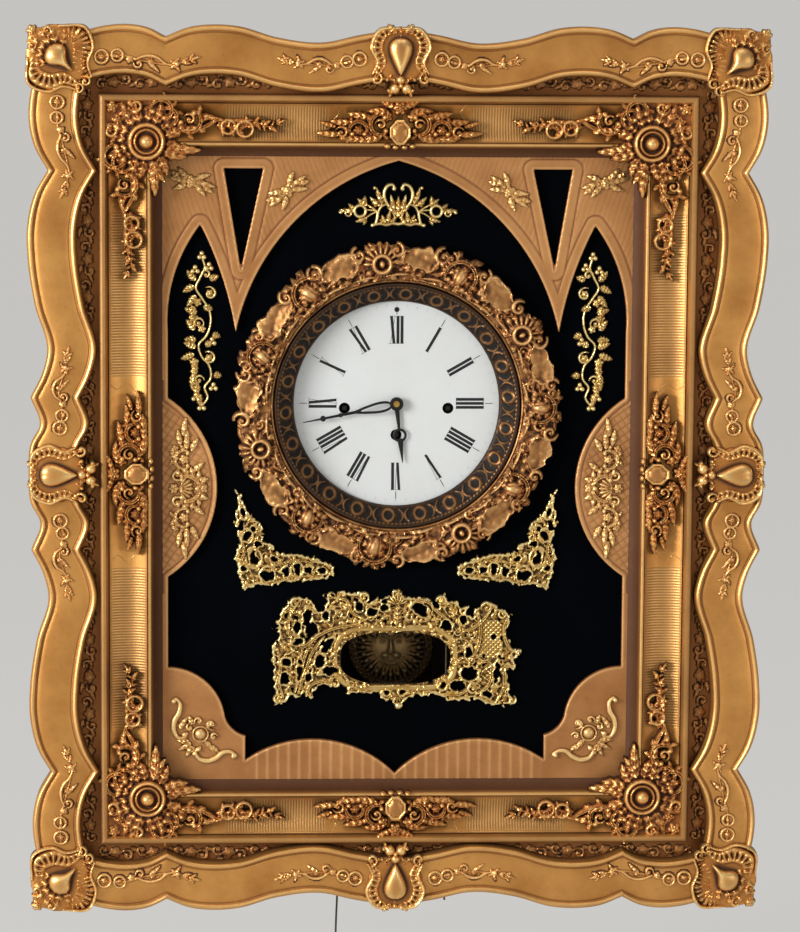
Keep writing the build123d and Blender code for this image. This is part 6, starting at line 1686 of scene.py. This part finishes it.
def setStage():
    reach = np.r_[np.linspace(0.0001, stage["flat"], 6), np.linspace(stage["flat"] + 2, stage["side"], 18)]
    turn = np.linspace(0, 2 * pi, 65)
    r, a = np.meshgrid(reach, turn)
    share = np.maximum(r - stage["flat"], 0) / (stage["side"] - stage["flat"])
    lift = stage["floor"] + stage["rise"] * share**2
    mesh = bpy.data.meshes.new("floor")  # level near the clock, sweeping up far away
    mesh.from_pydata(np.stack([r * np.cos(a), r * np.sin(a), lift], -1).reshape(-1, 3).tolist(), [],
                     gridQuads(*r.shape, True).tolist())
    mesh.polygons.foreach_set("use_smooth", np.ones(len(mesh.polygons), bool))
    floor = bpy.data.objects.new("floor", mesh)
    scene.collection.objects.link(floor)
    made, tree, shader, _ = startMaterial("floorPaint", Roughness=0.9)
    cloud = noise(tree, objectSpace(tree), 3.0)
    dull = linear(*[c * 0.985 for c in stage["tone"]])
    wire(tree, mixed(tree, cloud, linear(*stage["tone"]), dull), shader.inputs["Base Color"])
    path = put(tree, "ShaderNodeLightPath")  # evens the grey that camera and reflections see
    seen = path.outputs["Is Camera Ray"]
    for kind in ("Is Glossy Ray", "Is Transmission Ray"):
        either = put(tree, "ShaderNodeMath", operation="ADD", use_clamp=True)
        wire(tree, seen, either.inputs[0])
        wire(tree, path.outputs[kind], either.inputs[1])
        seen = either.outputs[0]
    glow = put(tree, "ShaderNodeEmission", Color=linear(*stage["grey"]))
    both = put(tree, "ShaderNodeMixShader")
    wire(tree, scaled(tree, seen, 0.0, stage["glow"]), both.inputs[0])
    wire(tree, shader.outputs[0], both.inputs[1])
    wire(tree, glow.outputs[0], both.inputs[2])
    wire(tree, both.outputs[0], next(n for n in tree.nodes if n.type == "OUTPUT_MATERIAL").inputs[0])
    mesh.materials.append(made)
    world = bpy.data.worlds.new("studio")
    scene.world = world
    world.use_nodes = True
    tree = world.node_tree
    back = tree.nodes["Background"]
    where = put(tree, "ShaderNodeSeparateXYZ")
    wire(tree, put(tree, "ShaderNodeTexCoord").outputs["Generated"], where.inputs[0])
    over = scaled(tree, where.outputs["Z"], -stage["upwards"], stage["upwards"], -1.0, 1.0)
    slope = summed(tree, where.outputs["X"], stage["leftwards"], over)  # brighter to the left, a little above
    share = scaled(tree, slope, 0.0, 1.0, -0.9, 1.1)
    wire(tree, mixed(tree, share, (*stage["dim"], 1.0), (*stage["bright"], 1.0)), back.inputs[0])
    for name, at, size, power in stage["lamps"]:
        data = bpy.data.lights.new(name, "AREA")
        data.size = size
        data.energy = power
        lamp = bpy.data.objects.new(name, data)
        scene.collection.objects.link(lamp)
        lamp.location = at
        lamp.rotation_mode = "QUATERNION"
        lamp.rotation_quaternion = (Vector(stage["aim"]) - Vector(at)).to_track_quat("-Z", "Y")


setStage()
print("stage ready")
